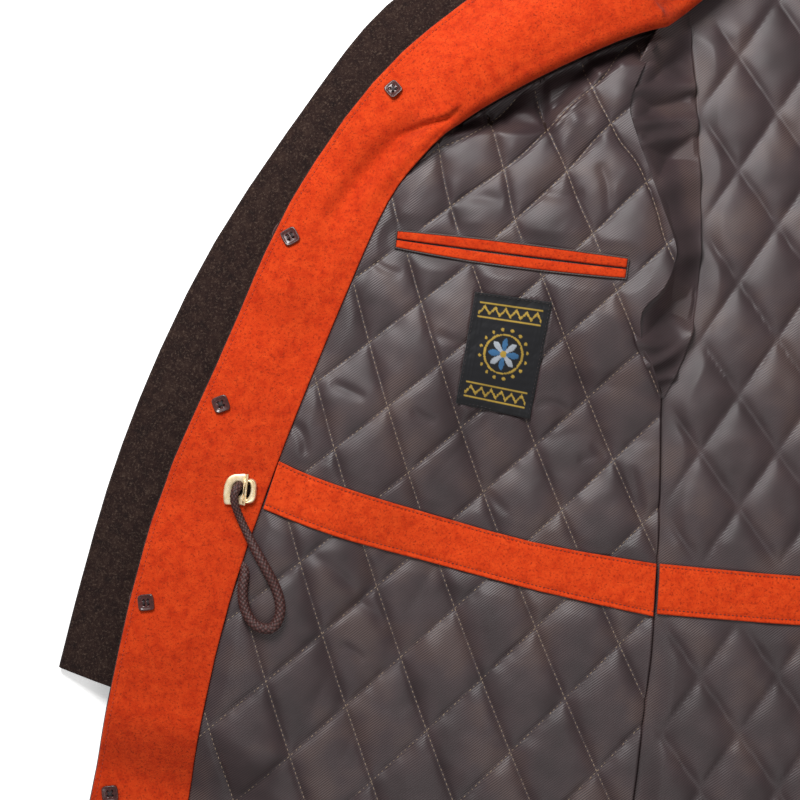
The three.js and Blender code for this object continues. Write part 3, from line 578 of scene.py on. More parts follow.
lining_satin = satin("grey_brown_satin_twill", "lining", "#241a1b", "#35292b", "#443537", "#54423f", 0.44)
piping_satin = satin("satin_piping", "piping", "#2a2221", "#3c3130", "#4a3c39", "#564641", 0.5)
print("satin:", lining_satin.name, piping_satin.name)

# %% [markdown]
# ## Small hard parts and threads
#
# The cord lock is cast zinc with champagne plating: a warm pale metal, semi-gloss. The buttons
# are moulded in brown polyester, smooth with a soft gloss. Sewing thread and braided cord are
# polyester too, with a dull lustre.

# %% Metal, button, threads, cord and label
def plain(name, slot, dark, light, size, bumps, **surface):
    """Two close shades clouded together, with a fine relief of the same size."""
    made, tree, shader = material(name, slot, **surface)
    place = add(tree, "ShaderNodeTexCoord").outputs["Object"]
    cloud = add(tree, "ShaderNodeTexNoise", {"Vector": place, "Scale": MM / size, "Detail": 3.0})
    shades = add(tree, "ShaderNodeValToRGB", {"Fac": cloud.outputs["Fac"]},
                 [(0.35, linear(dark)), (0.65, linear(light))])
    tree.links.new(shades.outputs["Color"], shader.inputs["Base Color"])
    bump = add(tree, "ShaderNodeBump", {"Height": cloud.outputs["Fac"], "Strength": bumps,
                                        "Distance": 0.0002})
    tree.links.new(bump.outputs["Normal"], shader.inputs["Normal"])
    return made


lock_metal = plain("champagne_plated_zinc", "lock_metal", "#ecd2a6", "#fbe9c8", 3.0, 0.05, Metallic=1.0,
                   Roughness=0.52)
# Painted shade: near-black metal for the disc that darkens the lock's holes.
shade_disc_metal = plain("zinc_disc_painted_as_shade", "lock_metal", "#150f0e", "#221a18", 3.0, 0.05, Metallic=1.0, Roughness=0.6)
button_polyester = plain("brown_moulded_polyester", "button", "#321513", "#47211e", 1.4, 0.05, Roughness=0.28)
quilt_thread = plain("quilting_thread", "lining", "#7b695a", "#97836d", 1.0, 0.1, Roughness=0.6)
felt_thread = plain("russet_sewing_thread", "felt", "#561208", "#74200e", 1.0, 0.1, Roughness=0.65)
edge_thread = plain("orange_sewing_thread", "felt", "#8e240b", "#a8300f", 1.0, 0.1, Roughness=0.65)
dark_thread = plain("dark_sewing_thread", "loden", "#1d1416", "#2b2022", 1.0, 0.1, Roughness=0.65)
cord_braid = plain("braided_polyester_cord", "cord", "#2a1615", "#3a211e", 1.2, 0.2, Roughness=0.6)
# The cord's base colour is read from its mesh colour, which holds painted shade in the braid's grooves.
braid_colour_and_groove_shade = add(cord_braid.node_tree, "ShaderNodeAttribute", attribute_name="colour_and_painted_shade")
cord_braid.node_tree.links.new(braid_colour_and_groove_shade.outputs["Color"],
                               cord_braid.node_tree.nodes["Principled BSDF"].inputs["Base Color"])

# %% [markdown]
# ## The drawcord
#
# The cord is a braid of about 6 mm. It comes up through the eye of the lock, hangs down in one loop and
# goes back under the facing. It is a tube round a smooth line. The braid is two families of strands that
# wind round it in opposite ways and pass over and under each other, which a product of two waves gives.

# %% Drawcord
CORD_ROUTE = [  # x, y, z and radius in mm
    (-487.0, 522.6, 27.6, 2.4), (-488.4, 520.8, 31.8, 2.5), (-490.3, 516.5, 33.3, 2.5),
    (-489.9, 509.8, 31.9, 2.4), (-487.4, 502.3, 29.2, 2.3), (-483.6, 493.9, 28.9, 2.4),
    (-479.4, 485.6, 30.0, 2.7), (-474.8, 477.2, 31.3, 3.0), (-469.8, 468.0, 31.5, 3.1),
    (-465.2, 458.8, 30.2, 3.1), (-462.3, 449.6, 30.4, 3.1), (-462.3, 441.2, 30.6, 3.1),
    (-466.1, 434.1, 31.0, 3.1), (-471.5, 432.9, 31.2, 3.1), (-477.8, 435.4, 31.0, 3.1),
    (-482.8, 442.1, 30.0, 3.1), (-485.1, 450.4, 29.6, 3.1), (-485.3, 458.8, 29.6, 3.0),
    (-484.3, 466.0, 27.8, 2.9), (-484.9, 471.5, 24.2, 2.6), (-486.8, 477.0, 19.0, 2.4),
]


CORD_SIDES = 48
DIAMOND = 3.2


def tube(line, radius, sides, relief=None):
    """Points of a tube: circles set square to the line, on a frame carried along it without twist.
    relief(u, v) is added to the radius, u in mm along it and v the angle."""
    step = np.gradient(line, axis=0)
    step /= lengths(step)
    side = np.cross(step, [0.0, 0.0, 1.0])
    side /= lengths(side) + 1e-9
    over = np.cross(side, step)
    angle = np.linspace(0, 2 * np.pi, sides, endpoint=False)
    r = np.broadcast_to(np.asarray(radius, float)[..., None], (len(line), 1)) + np.zeros(sides)
    if relief is not None:
        r = r + relief(places(line)[:, None], angle[None])
    ring = np.cos(angle)[None, :, None] * side[:, None] + np.sin(angle)[None, :, None] * over[:, None]
    return line[:, None] + r[..., None] * ring


def braid(u, v):
    """Two families of six strands cross and make diamonds 3.2 mm long: sqrt |sin a sin b| is 1 in the
    middle of each and 0 in the grooves between them."""
    a, b = 3 * v + np.pi * u / DIAMOND, 3 * v - np.pi * u / DIAMOND
    return np.sqrt(np.abs(np.sin(a) * np.sin(b)))


def drawcord():
    """The tube of the cord on its route, with the braid as relief and painted shade darkening its grooves."""
    curve = edge(CORD_ROUTE, 24)
    line, radius = curve[:, :3], curve[:, 3]
    rings = tube(line, radius, CORD_SIDES, lambda u, v: 0.75 * braid(u, v) - 0.45)
    high = braid(places(line)[:, None], np.linspace(0, 2 * np.pi, CORD_SIDES, endpoint=False)[None])
    # Painted shade: the yarn's colour falls to 14% of itself in the braid's grooves, standing in for the
    # shade in them.
    yarn = np.array(linear("#47201b")) * (0.14 + 0.8 * high.ravel()[:, None])
    piece = ringed("drawcord_braid", rings, cord_braid, yarn)
    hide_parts("drawcord")


drawcord()

# %% [markdown]
# ## Quilting
#
# The lining is stitched to wadding along two families of lines, so it puffs up between them. Where two
# lines cross is known from a short formula with a gentle bend, and turning that formula round gives each
# point its place in the quilting. The distance to the nearest line of each family then shapes the pillow.

# %% Where the quilting lines run
QUILT = dict(origin=(-362.5, 597.5), a=(12.6, -39.4), b=(-32.6, -26.8), bend_a=(0.68, -0.62),
             bend_b=(-0.21, 0.09), bend_ab=(-0.41, -1.5), steady_i=(-5, 8), steady_j=(-6, 7))
BACK_QUILT = dict(origin=(0, 470), a=(24.6, -35.9), b=(-24.6, -35.9), bend_a=(0, 0), bend_b=(0, 0),
                  bend_ab=(0, 0), steady_i=(-15, 15), steady_j=(-15, 15))


def crossing(quilt, i, j):
    """Where lines i and j cross: origin + i a + j b, and bends that grow with the
    squares over a steady range."""
    i, j = np.asarray(i, float), np.asarray(j, float)
    u, v = np.clip(i, *quilt["steady_i"]), np.clip(j, *quilt["steady_j"])
    return [quilt["origin"][k] + i * quilt["a"][k] + j * quilt["b"][k] + quilt["bend_a"][k] * u * (2 * i - u)
            + quilt["bend_b"][k] * v * (2 * j - v) + quilt["bend_ab"][k] * u * v for k in (0, 1)]


# Each row holds x and y, then the shift along x and the shift along y.
PULLS = np.array([(-257, 752, 8.2, -12.8), (-283, 718.7, 3.2, -6.0), (-322, 720, 0.5, 2.3),
                  (-295.6, 741.6, 3.7, 3.7), (-326, 740, -2.0, 7.0), (-268, 765.5, 6.0, 4.1),
                  (-234.7, 712.8, -2.3, -5.5), (-232, 779, 12.0, -12.0), (-316, 686.5, 5.5, 0.0),
                  (-356, 696, 2.7, 1.8), (-270, 735, 5.7, -9.4), (-299.5, 702.6, 4.4, -3.0)])
PULL_REACH = 18


def pulled(x, y):
    """Where loose cloth was pulled out of the plain quilting: the mean of the shifts of the places near by,
    each weighted by exp(-(distance / 18)^2), and fading to none where no place is near."""
    near = np.stack([np.exp(-((x - px) ** 2 + (y - py) ** 2) / PULL_REACH**2) for px, py in PULLS[:, :2]])
    total = near.sum(0) + 0.12
    return x + np.tensordot(PULLS[:, 2], near, 1) / total, y + np.tensordot(PULLS[:, 3], near, 1) / total


def quilt_place(quilt, x, y):
    """The numbers i and j of a point, found by eight steps along the formula's slopes, and the distances to
    the nearest line of each family."""
    x, y = pulled(x, y)
    i, j = np.zeros(np.shape(x)), np.zeros(np.shape(x))
    h = 1e-3  # the step for the slopes of the formula
    for _ in range(8):
        px, py = crossing(quilt, i, j)
        ax, ay = [(p - q) / h for p, q in zip(crossing(quilt, i + h, j), (px, py))]
        bx, by = [(p - q) / h for p, q in zip(crossing(quilt, i, j + h), (px, py))]
        det = ax * by - ay * bx
        i = i + ((x - px) * by - (y - py) * bx) / det
        j = j + ((y - py) * ax - (x - px) * ay) / det
    space = np.abs(det)
    to_i = np.abs(i - np.round(i)) * space / np.hypot(bx, by)
    to_j = np.abs(j - np.round(j)) * space / np.hypot(ax, ay)
    return i, j, to_i, to_j


RISE_LENGTH = 4.6  # this far from a line the wadding has come to two thirds of its height


def pillow(quilt, x, y, seed):
    """Puffed diamond, from about 0 at the lines to 1 in the middle: (1 - exp(-d / 4.6)) for both distances,
    with a pinched groove at the lines and small puckers that run away from them."""
    i, j, to_i, to_j = quilt_place(quilt, x, y)
    rise = (1 - np.exp(-to_i / RISE_LENGTH)) * (1 - np.exp(-to_j / RISE_LENGTH)) * 1.04
    near = np.minimum(to_i, to_j)
    groove = 0.2 * np.exp(-((near / 0.9) ** 2))
    pucker = np.exp(-((near / 5) ** 2)) * 0.08 * noise(i * 9 + 2 * j, j * 9 + 2 * i, 1.0, seed)
    fullness = 1 + 0.2 * noise(np.floor(i) * 7.3, np.floor(j) * 5.1, 1.0, seed + 5)
    return rise * fullness - groove + pucker


next_line = np.diff(crossing(QUILT, [0, 1], [0, 0])).ravel()
print("from one crossing to the next", round(float(np.hypot(*next_line)), 1), "mm")

# %% [markdown]
# ## The right lining
#
# This panel fills most of the picture. It is pressed flat under the casing, at the pocket and under the
# label, and it sinks towards its seams. Its wrinkles are placed one by one, as the photograph shows them.

# %% The right lining's surface
casing_middle = (casing_top + casing_foot) / 2
POCKET = dict(x=-317.8, y=666.3, turn=-0.126, length=144.5, height=14.2, slit=0.8, sag=0.6)
pocket_run = np.array([np.cos(POCKET["turn"]), np.sin(POCKET["turn"])]) * POCKET["length"] / 2
pocket_ends = np.array([POCKET["x"], POCKET["y"]]) + [-pocket_run, pocket_run]
label_corners = np.array([(-340.6, 642.5), (-292.5, 636), (-305.6, 563), (-352.5, 573)])
LINING_CREASES = [  # x0, y0, x1, y1, x2, y2, depth, width
    (-364, 616, -355, 611, -347, 610, -1.6, 3.0),
    (-379, 568, -373, 563, -367, 562, -1.4, 3.0),
    (-301, 572, -292, 575, -281, 568, -1.5, 3.2),
    (-265, 546, -259, 541, -254, 537, -1.2, 2.6),
    (-273, 537, -266, 540, -258, 539, -1.0, 2.4),
    (-332, 516, -326, 510, -320, 504, -1.0, 3.0),
    (-453, 559, -446, 555, -447, 540, -1.8, 3.2),
    (-429, 585, -420, 581, -411, 577, -1.5, 3.0),
    (-440, 476, -428, 470, -416, 455, -1.3, 3.4),
    (-412, 446, -404, 442, -399, 433, -1.6, 3.2),
    (-424, 420, -417, 416, -411, 411, -1.3, 3.0),
    (-240, 530, -236, 516, -234, 501, -1.6, 3.4),
    (-402, 660, -396, 655, -388, 654, -1.2, 2.6),
    (-350, 700, -338, 704, -325, 699, -1.3, 4.0),
    (-300, 706, -288, 700, -275, 703, -1.2, 3.6),
    (-262, 720, -256, 708, -258, 694, -1.4, 3.4),
]
CHEST_FOLDS = [  # x0, y0, x1, y1, x2, y2, depth, width
    (-297, 778, -297, 760, -296, 742, -3.0, 2.2),
    (-292, 746, -286, 758, -274, 764, 4.0, 4.0),
    (-291, 757, -287, 762, -284, 760, -2.2, 1.8),
    (-327, 745, -332, 756, -341, 764, -2.5, 2.4),
    (-318, 752, -308, 756, -300, 752, 3.5, 4.5),
    (-334, 752, -337, 760, -338, 766, 2.6, 3.0),
    (-262, 778, -268, 786, -272, 792, 3.4, 3.4),
    (-250, 786, -243, 793, -232, 800, 3.2, 4.0),
    (-246, 768, -256, 752, -262, 742, 1.6, 8.0),
    (-278, 750, -270, 745, -262, 752, 1.0, 6.0),
    (-277, 752, -284, 738, -290, 728, 0.9, 5.0),
]


def lining_surface(x, y):
    """Top of the right lining: the open front, the satin, the pressed or puffed
    wadding, creases and ripples."""
    base = front_under(x, y) + LODEN + GAP + SATIN + np.maximum(troughs(CHEST_FOLDS, x, y), -PUFF * 0.5)
    flat = np.minimum(share(distance(casing_middle, x, y), 9, 24), share(distance(pocket_ends, x, y), 6, 16))
    flat = np.minimum(flat, share(distance(facing_seam, x, y), -4, 10))
    flat = np.minimum(flat, np.where(within(label_corners, x, y), 0.45, 1))
    ripple = 0.42 * noise(x + 0.5 * y, y, 16, 31) + 0.11 * noise(x, y - 0.6 * x, 6.5, 32)
    wadding = PUFF * flat * pillow(QUILT, x, y, 20)
    return base + wadding + troughs(LINING_CREASES, x, y) + ripple * (0.4 + flat)


# %% The right lining's mesh
def lining_panel():
    """The patch between the facing's seam and the armhole and side, with a point every 1.5 mm or so."""
    seam = offset(facing_seam, 0.4)
    seam = seam[seam[:, 1] > 118]
    left = np.vstack([seam, [(-555, 115)]])
    right = np.vstack([lining_armhole, right_side[1:-1], [(-277, 24)]])
    plan = patch(left[:1].repeat(2, 0), [(-555, 115), (-400, 56), (-277, 24)], left, right, spread(785, 1.75),
                 spread(240, 1.3))
    x, y = plan[..., 0], plan[..., 1]
    piece = cloth("right_lining_satin", plan, lining_surface(x, y), lining_satin)
    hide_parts("right_lining")
    area_of(piece)
    return piece


print("right lining", round(area_of(lining_panel()), 4), "square metres")

# %% [markdown]
# ## The orange facing
#
# The facing is one strip of felt from the neck to the hem. Its front edge is stitched, its inner edge is
# turned under, and at the chest it rolls over so far that it hides the seam. So the grid goes on past the
# inner edge: the last columns curl down and back, with a larger radius at the roll.

# %% The facing's surface
ROLL_SLOPE = 0.14
EDGE_SEAM = 4.0  # from the front edge to its stitching
front_line = np.vstack([right_neck[::-1], front_edge[1:]])
inner_line = np.vstack([roll_to_neck, facing_seam[1:]])


def facing_surface(x, y):
    """Top of the facing: the open front, the felt, the roll held high up to its seam, and the groove of the
    stitching 4 mm inside the front edge. From ridge to seam the roll falls by 14% of its height, with the
    square of the way."""
    across = roll_across(x, y)
    lip = ROLL * roll_fade(x, y) * (1 - ROLL_SLOPE * (np.clip(RIDGE - across, 0, RIDGE) / RIDGE) ** 2)
    roll = np.where(across > RIDGE, 0, np.maximum(lip - roll_height(x, y), 0))
    rim = distance(front_line, x, y)
    groove = 0.55 * np.exp(-(((rim - EDGE_SEAM) / 0.9) ** 2)) + 0.5 * np.exp(-((rim / 1.5) ** 2))
    base = front_under(x, y, sunk=False) + LODEN + GAP + FELT
    return base + roll + drape(x, y, 40, 0.55) - groove


waist = facing_surface(np.array([-520.0, -494.0]), np.array([480.0, 480.0]))
print("the facing at the waist lies", waist.round(1), "mm high")


# %% The facing's mesh
def facing_panel():
    """The patch between both edges, and past the inner edge a curl of 165 degrees: out by r sin(angle) and
    down by r (1 - cos(angle)). The whole is moved in by 0.85 r at the curl, so that the roll's outline
    stays on the edge. The rows lie closer together where the roll is."""
    left = offset(front_line, 0.8)
    s = np.sort(np.concatenate([spread(1060, 3.4), np.linspace(0.05, 0.36, 190)[1:-1]]))
    s = np.concatenate([s[:6], s[6:-6][np.diff(s[5:-6]) > 0.0008], s[-6:]])
    t = np.concatenate([np.linspace(0, 7.2, 11) / 76, np.linspace(9 / 76, 1, 40)])
    plan = patch([(-90, 940)] * 2, [left[-1], (-560, 91)], left, inner_line, s, t)
    x, y = plan[..., 0], plan[..., 1]
    top = facing_surface(x, y)
    run = np.gradient(along(inner_line, s), axis=0)
    run /= lengths(run) + 1e-9
    out = np.stack([-run[:, 1], run[:, 0]], 1)
    radius = 1.1 + 8.2 * roll_fade(x[:, -1], y[:, -1]) * smooth((x[:, -1] + 372) / 26)
    angle = np.linspace(0, np.radians(165), 11)[1:]
    inset = 0.85
    turn = plan[:, -1:] + out[:, None] * (radius[:, None] * (np.sin(angle) - inset))[..., None]
    turn_top = top[:, -1:] - radius[:, None] * (1 - np.cos(angle))
    plan = plan - (out * radius[:, None] * inset)[:, None] * (t[None, :, None] ** 5)
    under = np.concatenate([top - FELT, turn_top - 0.2], axis=1)
    plan = np.concatenate([plan, turn], axis=1)
    top = np.concatenate([top, turn_top], axis=1)
    piece = cloth("right_facing_felt", plan, top, felt, under)
    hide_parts("right_facing")
    return piece


print("facing", round(area_of(facing_panel()), 4), "square metres")

# %% [markdown]
# ## Right sleeve and left sleeve
#
# A sleeve that lies flat is still a tube: its cloth turns round at both edges. Its profile goes over the
# top, round the edge, back underneath and round again. The outer grid and an inner one, a cloth's thickness
# inside it, join at the cuff and at the armhole.

# %% Sleeves
def sleeve(name, nodes, top_height, side, head, tuck):
    """A flat tube between two rails. s runs from the armhole to the cuff, and the profile is a row of
    shares across with a half circle at each rail. The armhole's bow fades with the fourth power of 1 - s,
    and so does the tuck, by which the head goes in under the body."""
    s = spread(610, 5.0)
    across = np.linspace(0, 1, 30)
    fade = (1 - s[:, None, None]) ** 4
    outer = along(offset(sleeve_outer, 2.6), s) + fade[:, 0] * [tuck, 0]
    inner = along(offset(sleeve_inner, 2.6)[::-1], s) + fade[:, 0] * [tuck, 0]

    def deck(end):
        bow = along(end, across) - along(np.array([end[0], end[-1]]), across)
        return outer[:, None] + (inner - outer)[:, None] * across[None, :, None] + bow[None] * fade

    over, below = deck(head), deck(back_armhole)
    width = (inner - outer) / lengths(inner - outer)
    angle = np.linspace(0, np.pi, 8)[1:-1]
    rails = []
    for inset in (0.0, LODEN):
        high = top_height(over[..., 0] * side, over[..., 1]) - inset
        low = np.full(high.shape, 0.15 + inset)
        half_outer, half_inner = (high[:, :1] - low[:, :1]) / 2, (high[:, -1:] - low[:, -1:]) / 2
        turn_in = inner[:, None] + width[:, None] * (half_inner * np.sin(angle))[..., None]
        turn_out = outer[:, None] - width[:, None] * (half_outer * np.sin(angle))[..., None]
        z_in = low[:, -1:] + half_inner * (1 + np.cos(angle))
        z_out = low[:, :1] + half_outer * (1 - np.cos(angle))
        plan = np.concatenate([over, turn_in, below[:, ::-1], turn_out], axis=1)
        z = np.concatenate([high, z_in, low[:, ::-1], z_out], axis=1)
        rails.append(np.dstack([plan[..., 0] * side, plan[..., 1], z]))
    rows, columns = rails[0].shape[:2]
    index = np.arange(rows * columns).reshape(rows, columns)
    shell = quads(index, wrap=True)
    lining = quads(index + rows * columns, wrap=True)[:, ::-1]
    rims = []
    for row, turn in ((0, -1), (-1, 1)):
        ring = np.stack([index[row], index[row] + rows * columns])
        rims.append(quads(ring, wrap=True)[:, ::turn])
    faces = np.vstack([shell, lining, *rims])
    faces = faces[:, ::-1] if side > 0 else faces
    points = np.vstack([rail.reshape(-1, 3) for rail in rails])
    piece = make(name, points, faces, loden)
    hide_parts(*nodes)
    return piece


def right_sleeve_top(x, y):
    """The sleeve's height with the unevenness of thick cloth."""
    return np.maximum(sleeve_top(x, y), 5.0) + drape(x, y, 50, 0.5) - 0.6


right_sleeve = sleeve("right_sleeve_loden", ["right_sleeve_under", "right_sleeve_upper"], right_sleeve_top, 1,
                      np.vstack([[(-235, 895)], right_armhole[2:]]), 0)
print("right sleeve", round(area_of(right_sleeve), 4), "square metres")

# %% The left sleeve
left_side = mirrored(right_side)
left_closed = [mirrored(outer_reach), mirrored(inner_reach), left_side, mirrored(shoulder)]


def left_under(x, y):
    """Underside of the closed left side: 3.3 mm at its seams, 13 mm more between
    them, and low at the free edge."""
    near = np.min([distance(line, x, y) for line in left_closed], axis=0)
    bulge = 3.3 + 13 * rounded(near / 62)
    free = np.where(x < 120, 9.2 + 13 * rounded(np.maximum(0, x + 47) / 120), 99)
    return np.minimum(bulge, free)


def left_sleeve_top(x, y):
    """The left sleeve lies lower along its seam, in a ditch of 2.4 mm."""
    ditch = 2.4 * np.exp(-((distance(mirrored(back_armhole), x, y) / 3.5) ** 2))
    return np.maximum(left_under(x, y) + LODEN, 5.0) + drape(x, y, 55, 0.9) - 0.4 - ditch


left_sleeve = sleeve("left_sleeve_loden", ["left_sleeve_under", "left_sleeve_upper"], left_sleeve_top, -1,
                     back_armhole, 3.0)
print("left sleeve", round(area_of(left_sleeve), 4), "square metres")

# %% [markdown]
# ## Body panels in loden
#
# The open front, the closed left front and the back are plain panels. The same grid and closed shell serve
# all three, and only their edges and heights differ.

# %% Body panels
def body_panel(name, node, top, bottom, left, right, height, size):
    """A closed panel of loden whose underside is height(x, y). Its size gives rows
    and columns in mm and their step."""
    rows, columns, step = size
    plan = patch(top, bottom, left, right, spread(rows, step), spread(columns, step))
    under = height(plan[..., 0], plan[..., 1])
    piece = cloth(name, plan, under + LODEN, loden, under)
    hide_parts(node)
    min(area_of(piece), columns * rows / 1e6)


inner_side = np.vstack([roll_to_neck[:-1], offset(lining_armhole, -8)[1:-2], right_side])
body_panel("right_front_loden", "right_front", [(-90, 940)] * 2, right_hem, front_line, inner_side,
           front_under, (1150, 380, 5.0))


def left_front_under(x, y):
    """The closed left side's height with the unevenness of thick cloth."""
    return left_under(x, y) + drape(x, y, 60, 0.9)


left_inner = np.vstack([left_neck, left_edge[1:]])
left_outer = np.vstack([shoulder, back_armhole[1:], right_side[1:]]) * [-1, 1]
body_panel("left_front_loden", "left_front", [(90, 940)] * 2, [(-47, 0), (120, -3), (283, 0)], left_inner,
           left_outer, left_front_under, (1080, 300, 6.0))

back_head = np.vstack([shoulder[::-1], back_neck[1:], mirrored(back_neck)[1:], (shoulder * [-1, 1])[1:]])
back_left = np.vstack([back_armhole, right_side[1:]])
body_panel("back_loden", "back", back_head, [(-283, 0), (0, -HEM_DIP), (283, 0)], back_left,
           back_left * [-1, 1], lambda x, y: np.full(x.shape, 0.05), (930, 520, 9.0))

# %% [markdown]
# ## Back lining and sleeve lining
#
# Between the open and the closed front, the back's lining shows, quilted like the front's. In the armhole
# the sleeve lining drops away in upright folds.

# %% Back lining
BACK_BASE = LODEN + GAP + SATIN


def back_surface(x, y):
    """Top of the back lining; the wadding is full only where it shows."""
    seams = np.min([distance(line, x, y) for line in left_closed], axis=0)
    band = np.abs(y - 447 - 0.1 * np.maximum(0, -x - 120))
    edges = np.minimum(distance(right_side, x, y), distance(back_armhole, x, y))
    puff = np.minimum(np.minimum(share(seams, 40, 90), share(band, 14, 30)), share(edges, 4, 16))
    puff = np.minimum(puff, share(800 + 0.667 * (x + 225) - y, 8, 26))
    puff = np.minimum(puff, share(900 - y, 0, 30)) * share(-x, -10, 10)
    return BACK_BASE + PUFF * puff * pillow(BACK_QUILT, x, y, 70) + 0.25 * noise(x, y, 9, 71) * (0.3 + puff)


def back_lining():
    """One panel from the right armhole and side to 24 mm short of the left ones, with wider columns on the
    left, where the closed front covers it."""
    half = np.vstack([offset(back_armhole, 2.0)[:-1], [(-222, 578)], right_side[1:-1] + [0.1, 0],
                      [(-277, 24)]])
    far = np.vstack([offset(back_armhole, 24)[1:], offset(right_side, 24)[1:-1], [(-253, 24)]]) * [-1, 1]
    head = np.vstack([offset(shoulder, 2.0)[::-1], offset(back_neck, 2)[1:],
                      mirrored(offset(back_neck, 2))[1:],
                      [(170, 890), tuple(far[0])]])
    half[0] = head[0]
    t = np.concatenate([np.linspace(0, 0.004, 3), np.linspace(0.008, 0.5, 120), np.linspace(0.53, 1, 14)])
    plan = patch(head, [(-277, 24), (0, 22), (253, 24)], half, far, spread(880, 2.9), t)
    piece = cloth("back_lining_satin", plan, back_surface(plan[..., 0], plan[..., 1]), lining_satin)
    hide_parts("back_lining")
    min(area_of(piece), 0.45)


back_lining()

# %% Sleeve lining in the armhole
ARMHOLE_FOLDS = [  # y, rise and half width of each fold, and how steeply it runs
    (588, 3, 4, 0.3), (600, 4, 5, 0.6), (613, 3, 4, 0.1), (633, -7, 9, 0.1), (657, 4, 8, 0.5),
    (682, 2.5, 10, 0.2), (706, 4, 9, 0.4), (722, -7, 7, 0.6), (738, 4, 5, 0.2), (749, 5, 5, 0.1),
    (760, -3, 3, 0.3), (770, 5, 6, 0.2), (783, -3, 4, 0.5), (797, 4, 8, 0.4), (822, 3, 10, 0.5),
    (846, 2, 12, 0.5),
]


def armhole_lining():
    """A narrow panel down the armhole. It stands 16 mm higher at the front's edge, each fold adds rise
    exp(-(distance / width)^2), and at the sleeve it stays over the sleeve's cloth."""
    left = np.vstack([[(-180, 848)], lining_armhole[:-1] + [-5, 0], [(-222, 576)]])
    right = np.vstack([[(-206, 850)], back_armhole[5:-1] + [3, 0], [(-220, 576)]])
    plan = patch([left[0], right[0]], [left[-1], right[-1]], left, right, spread(290, 1.2), spread(36, 1.1))
    x, y = plan[..., 0], plan[..., 1]
    across = np.linspace(0, 1, plan.shape[1])[None]
    wander = 3.5 * noise(x, y, 16, 82)
    rise = sum(r * np.exp(-(((y + wander - f - k * (x + 225)) / w) ** 2)) for f, r, w, k in ARMHOLE_FOLDS)
    bank = 16 * (1 - smooth(across)) * np.clip((y - 578) / 30, 0, 1)
    rise = rise * (0.9 + 0.3 * noise(x, y, 22, 80))
    top = LODEN + GAP + SATIN + 1 + bank + rise + 0.4 * noise(x + y, y, 7, 81)
    near_edge = sleeve_top(x, y) + 3.2 - 18 * smooth((across - 0.16) / 0.45)
    top = np.maximum(np.maximum(top, near_edge), LODEN + GAP + 0.4)
    piece = cloth("right_sleeve_lining_satin", plan, top, lining_satin)
    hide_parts("right_sleeve_lining")
    print("sleeve lining", round(area_of(piece), 4), "square metres")
    min(area_of(piece), 0.0224)


armhole_lining()

# %% [markdown]
# ## Waist casing
#
# The casing is a band of the same felt, its colour painted paler for the brighter light on it, stitched down
# along both edges, which holds the cord at the waist.
# It goes on across the back.

# %% Waist casing
TOP_SEAM, FOOT_SEAM = 1.8, 3.2  # from the casing's edges to its stitching


def smooth_under(surface, x, y):
    """A surface's height averaged over a circle of 7 mm, so that a band bridges the quilting's lines."""
    turns = np.linspace(0, 2 * np.pi, 6, endpoint=False)
    return np.mean([surface(x + 7 * np.cos(a), y + 7 * np.sin(a)) for a in turns], axis=0)


def casing_height(surface, top_line, foot_line, x, y, seed):
    """The felt lies on the pressed lining, a little full between its stitching
    lines, which sink into it."""
    upper, lower = distance(top_line, x, y), distance(foot_line, x, y)
    groove = 0.6 * (np.exp(-(((upper - TOP_SEAM) / 0.8) ** 2)) + np.exp(-(((lower - FOOT_SEAM) / 0.8) ** 2)))
    full = 0.8 * rounded(np.minimum(upper - 2, lower - 3) / 9)
    return smooth_under(surface, x, y) + GAP + FELT - groove + full + 0.3 * noise(x, y, 17, seed)


def casing(where, surface, top_line, foot_line, length, seed, lining):
    """The patch between both stitched edges, laid over the lining's averaged height."""
    ends = [top_line[0], foot_line[0]], [top_line[-1], foot_line[-1]]
    plan = patch(top_line, foot_line, *ends, spread(32, 1.0), spread(length, 2.2))
    top = casing_height(surface, top_line, foot_line, plan[..., 0], plan[..., 1], seed)
    piece = cloth(f"waist_casing_{where}_felt", plan, top, felt_painted_lighter, top - FELT)
    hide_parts(f"waist_casing_{where}")
    area_of(piece)


CASINGS = (("front", lining_surface, casing_top, casing_foot, 255, 90, "right_lining_satin"),
           ("back", back_surface, back_casing_top, back_casing_foot, 425, 91, "back_lining_satin"))
for row in CASINGS:
    casing(*row)

# %% [markdown]
# ## Inner pocket
#
# The pocket's mouth is a slit between two felt welts, with a narrow satin piping round both. The welts sag
# a little in the middle, and the slit shows dark because the cloth behind it lies lower.

# %% Inner pocket
def pocket_bar(low, high, extra=0.0):
    """Grid of a bar along the pocket, between two distances from its middle line, sagging by 1 - (a /
    half)^2 and narrower towards both ends."""
    half = POCKET["length"] / 2 + extra
    a = np.linspace(-half, half, 75)
    rim = 0.25
    b = np.concatenate([[low, low + rim], np.linspace(low + 1, high - 1, 9), [high - rim, high]])
    a = np.concatenate([[a[0], a[0] + rim], a[1:-1], [a[-1] - rim, a[-1]]])
    a, b = np.meshgrid(a, b)
    narrow = 1 - np.where(a < 0, 0.3, 0.15) * (a / half) ** 2
    up = b * narrow - POCKET["sag"] * (1 - (a / half) ** 2)
    c, s = np.cos(POCKET["turn"]), np.sin(POCKET["turn"])
    return np.dstack([POCKET["x"] + a * c - up * s, POCKET["y"] + a * s + up * c])


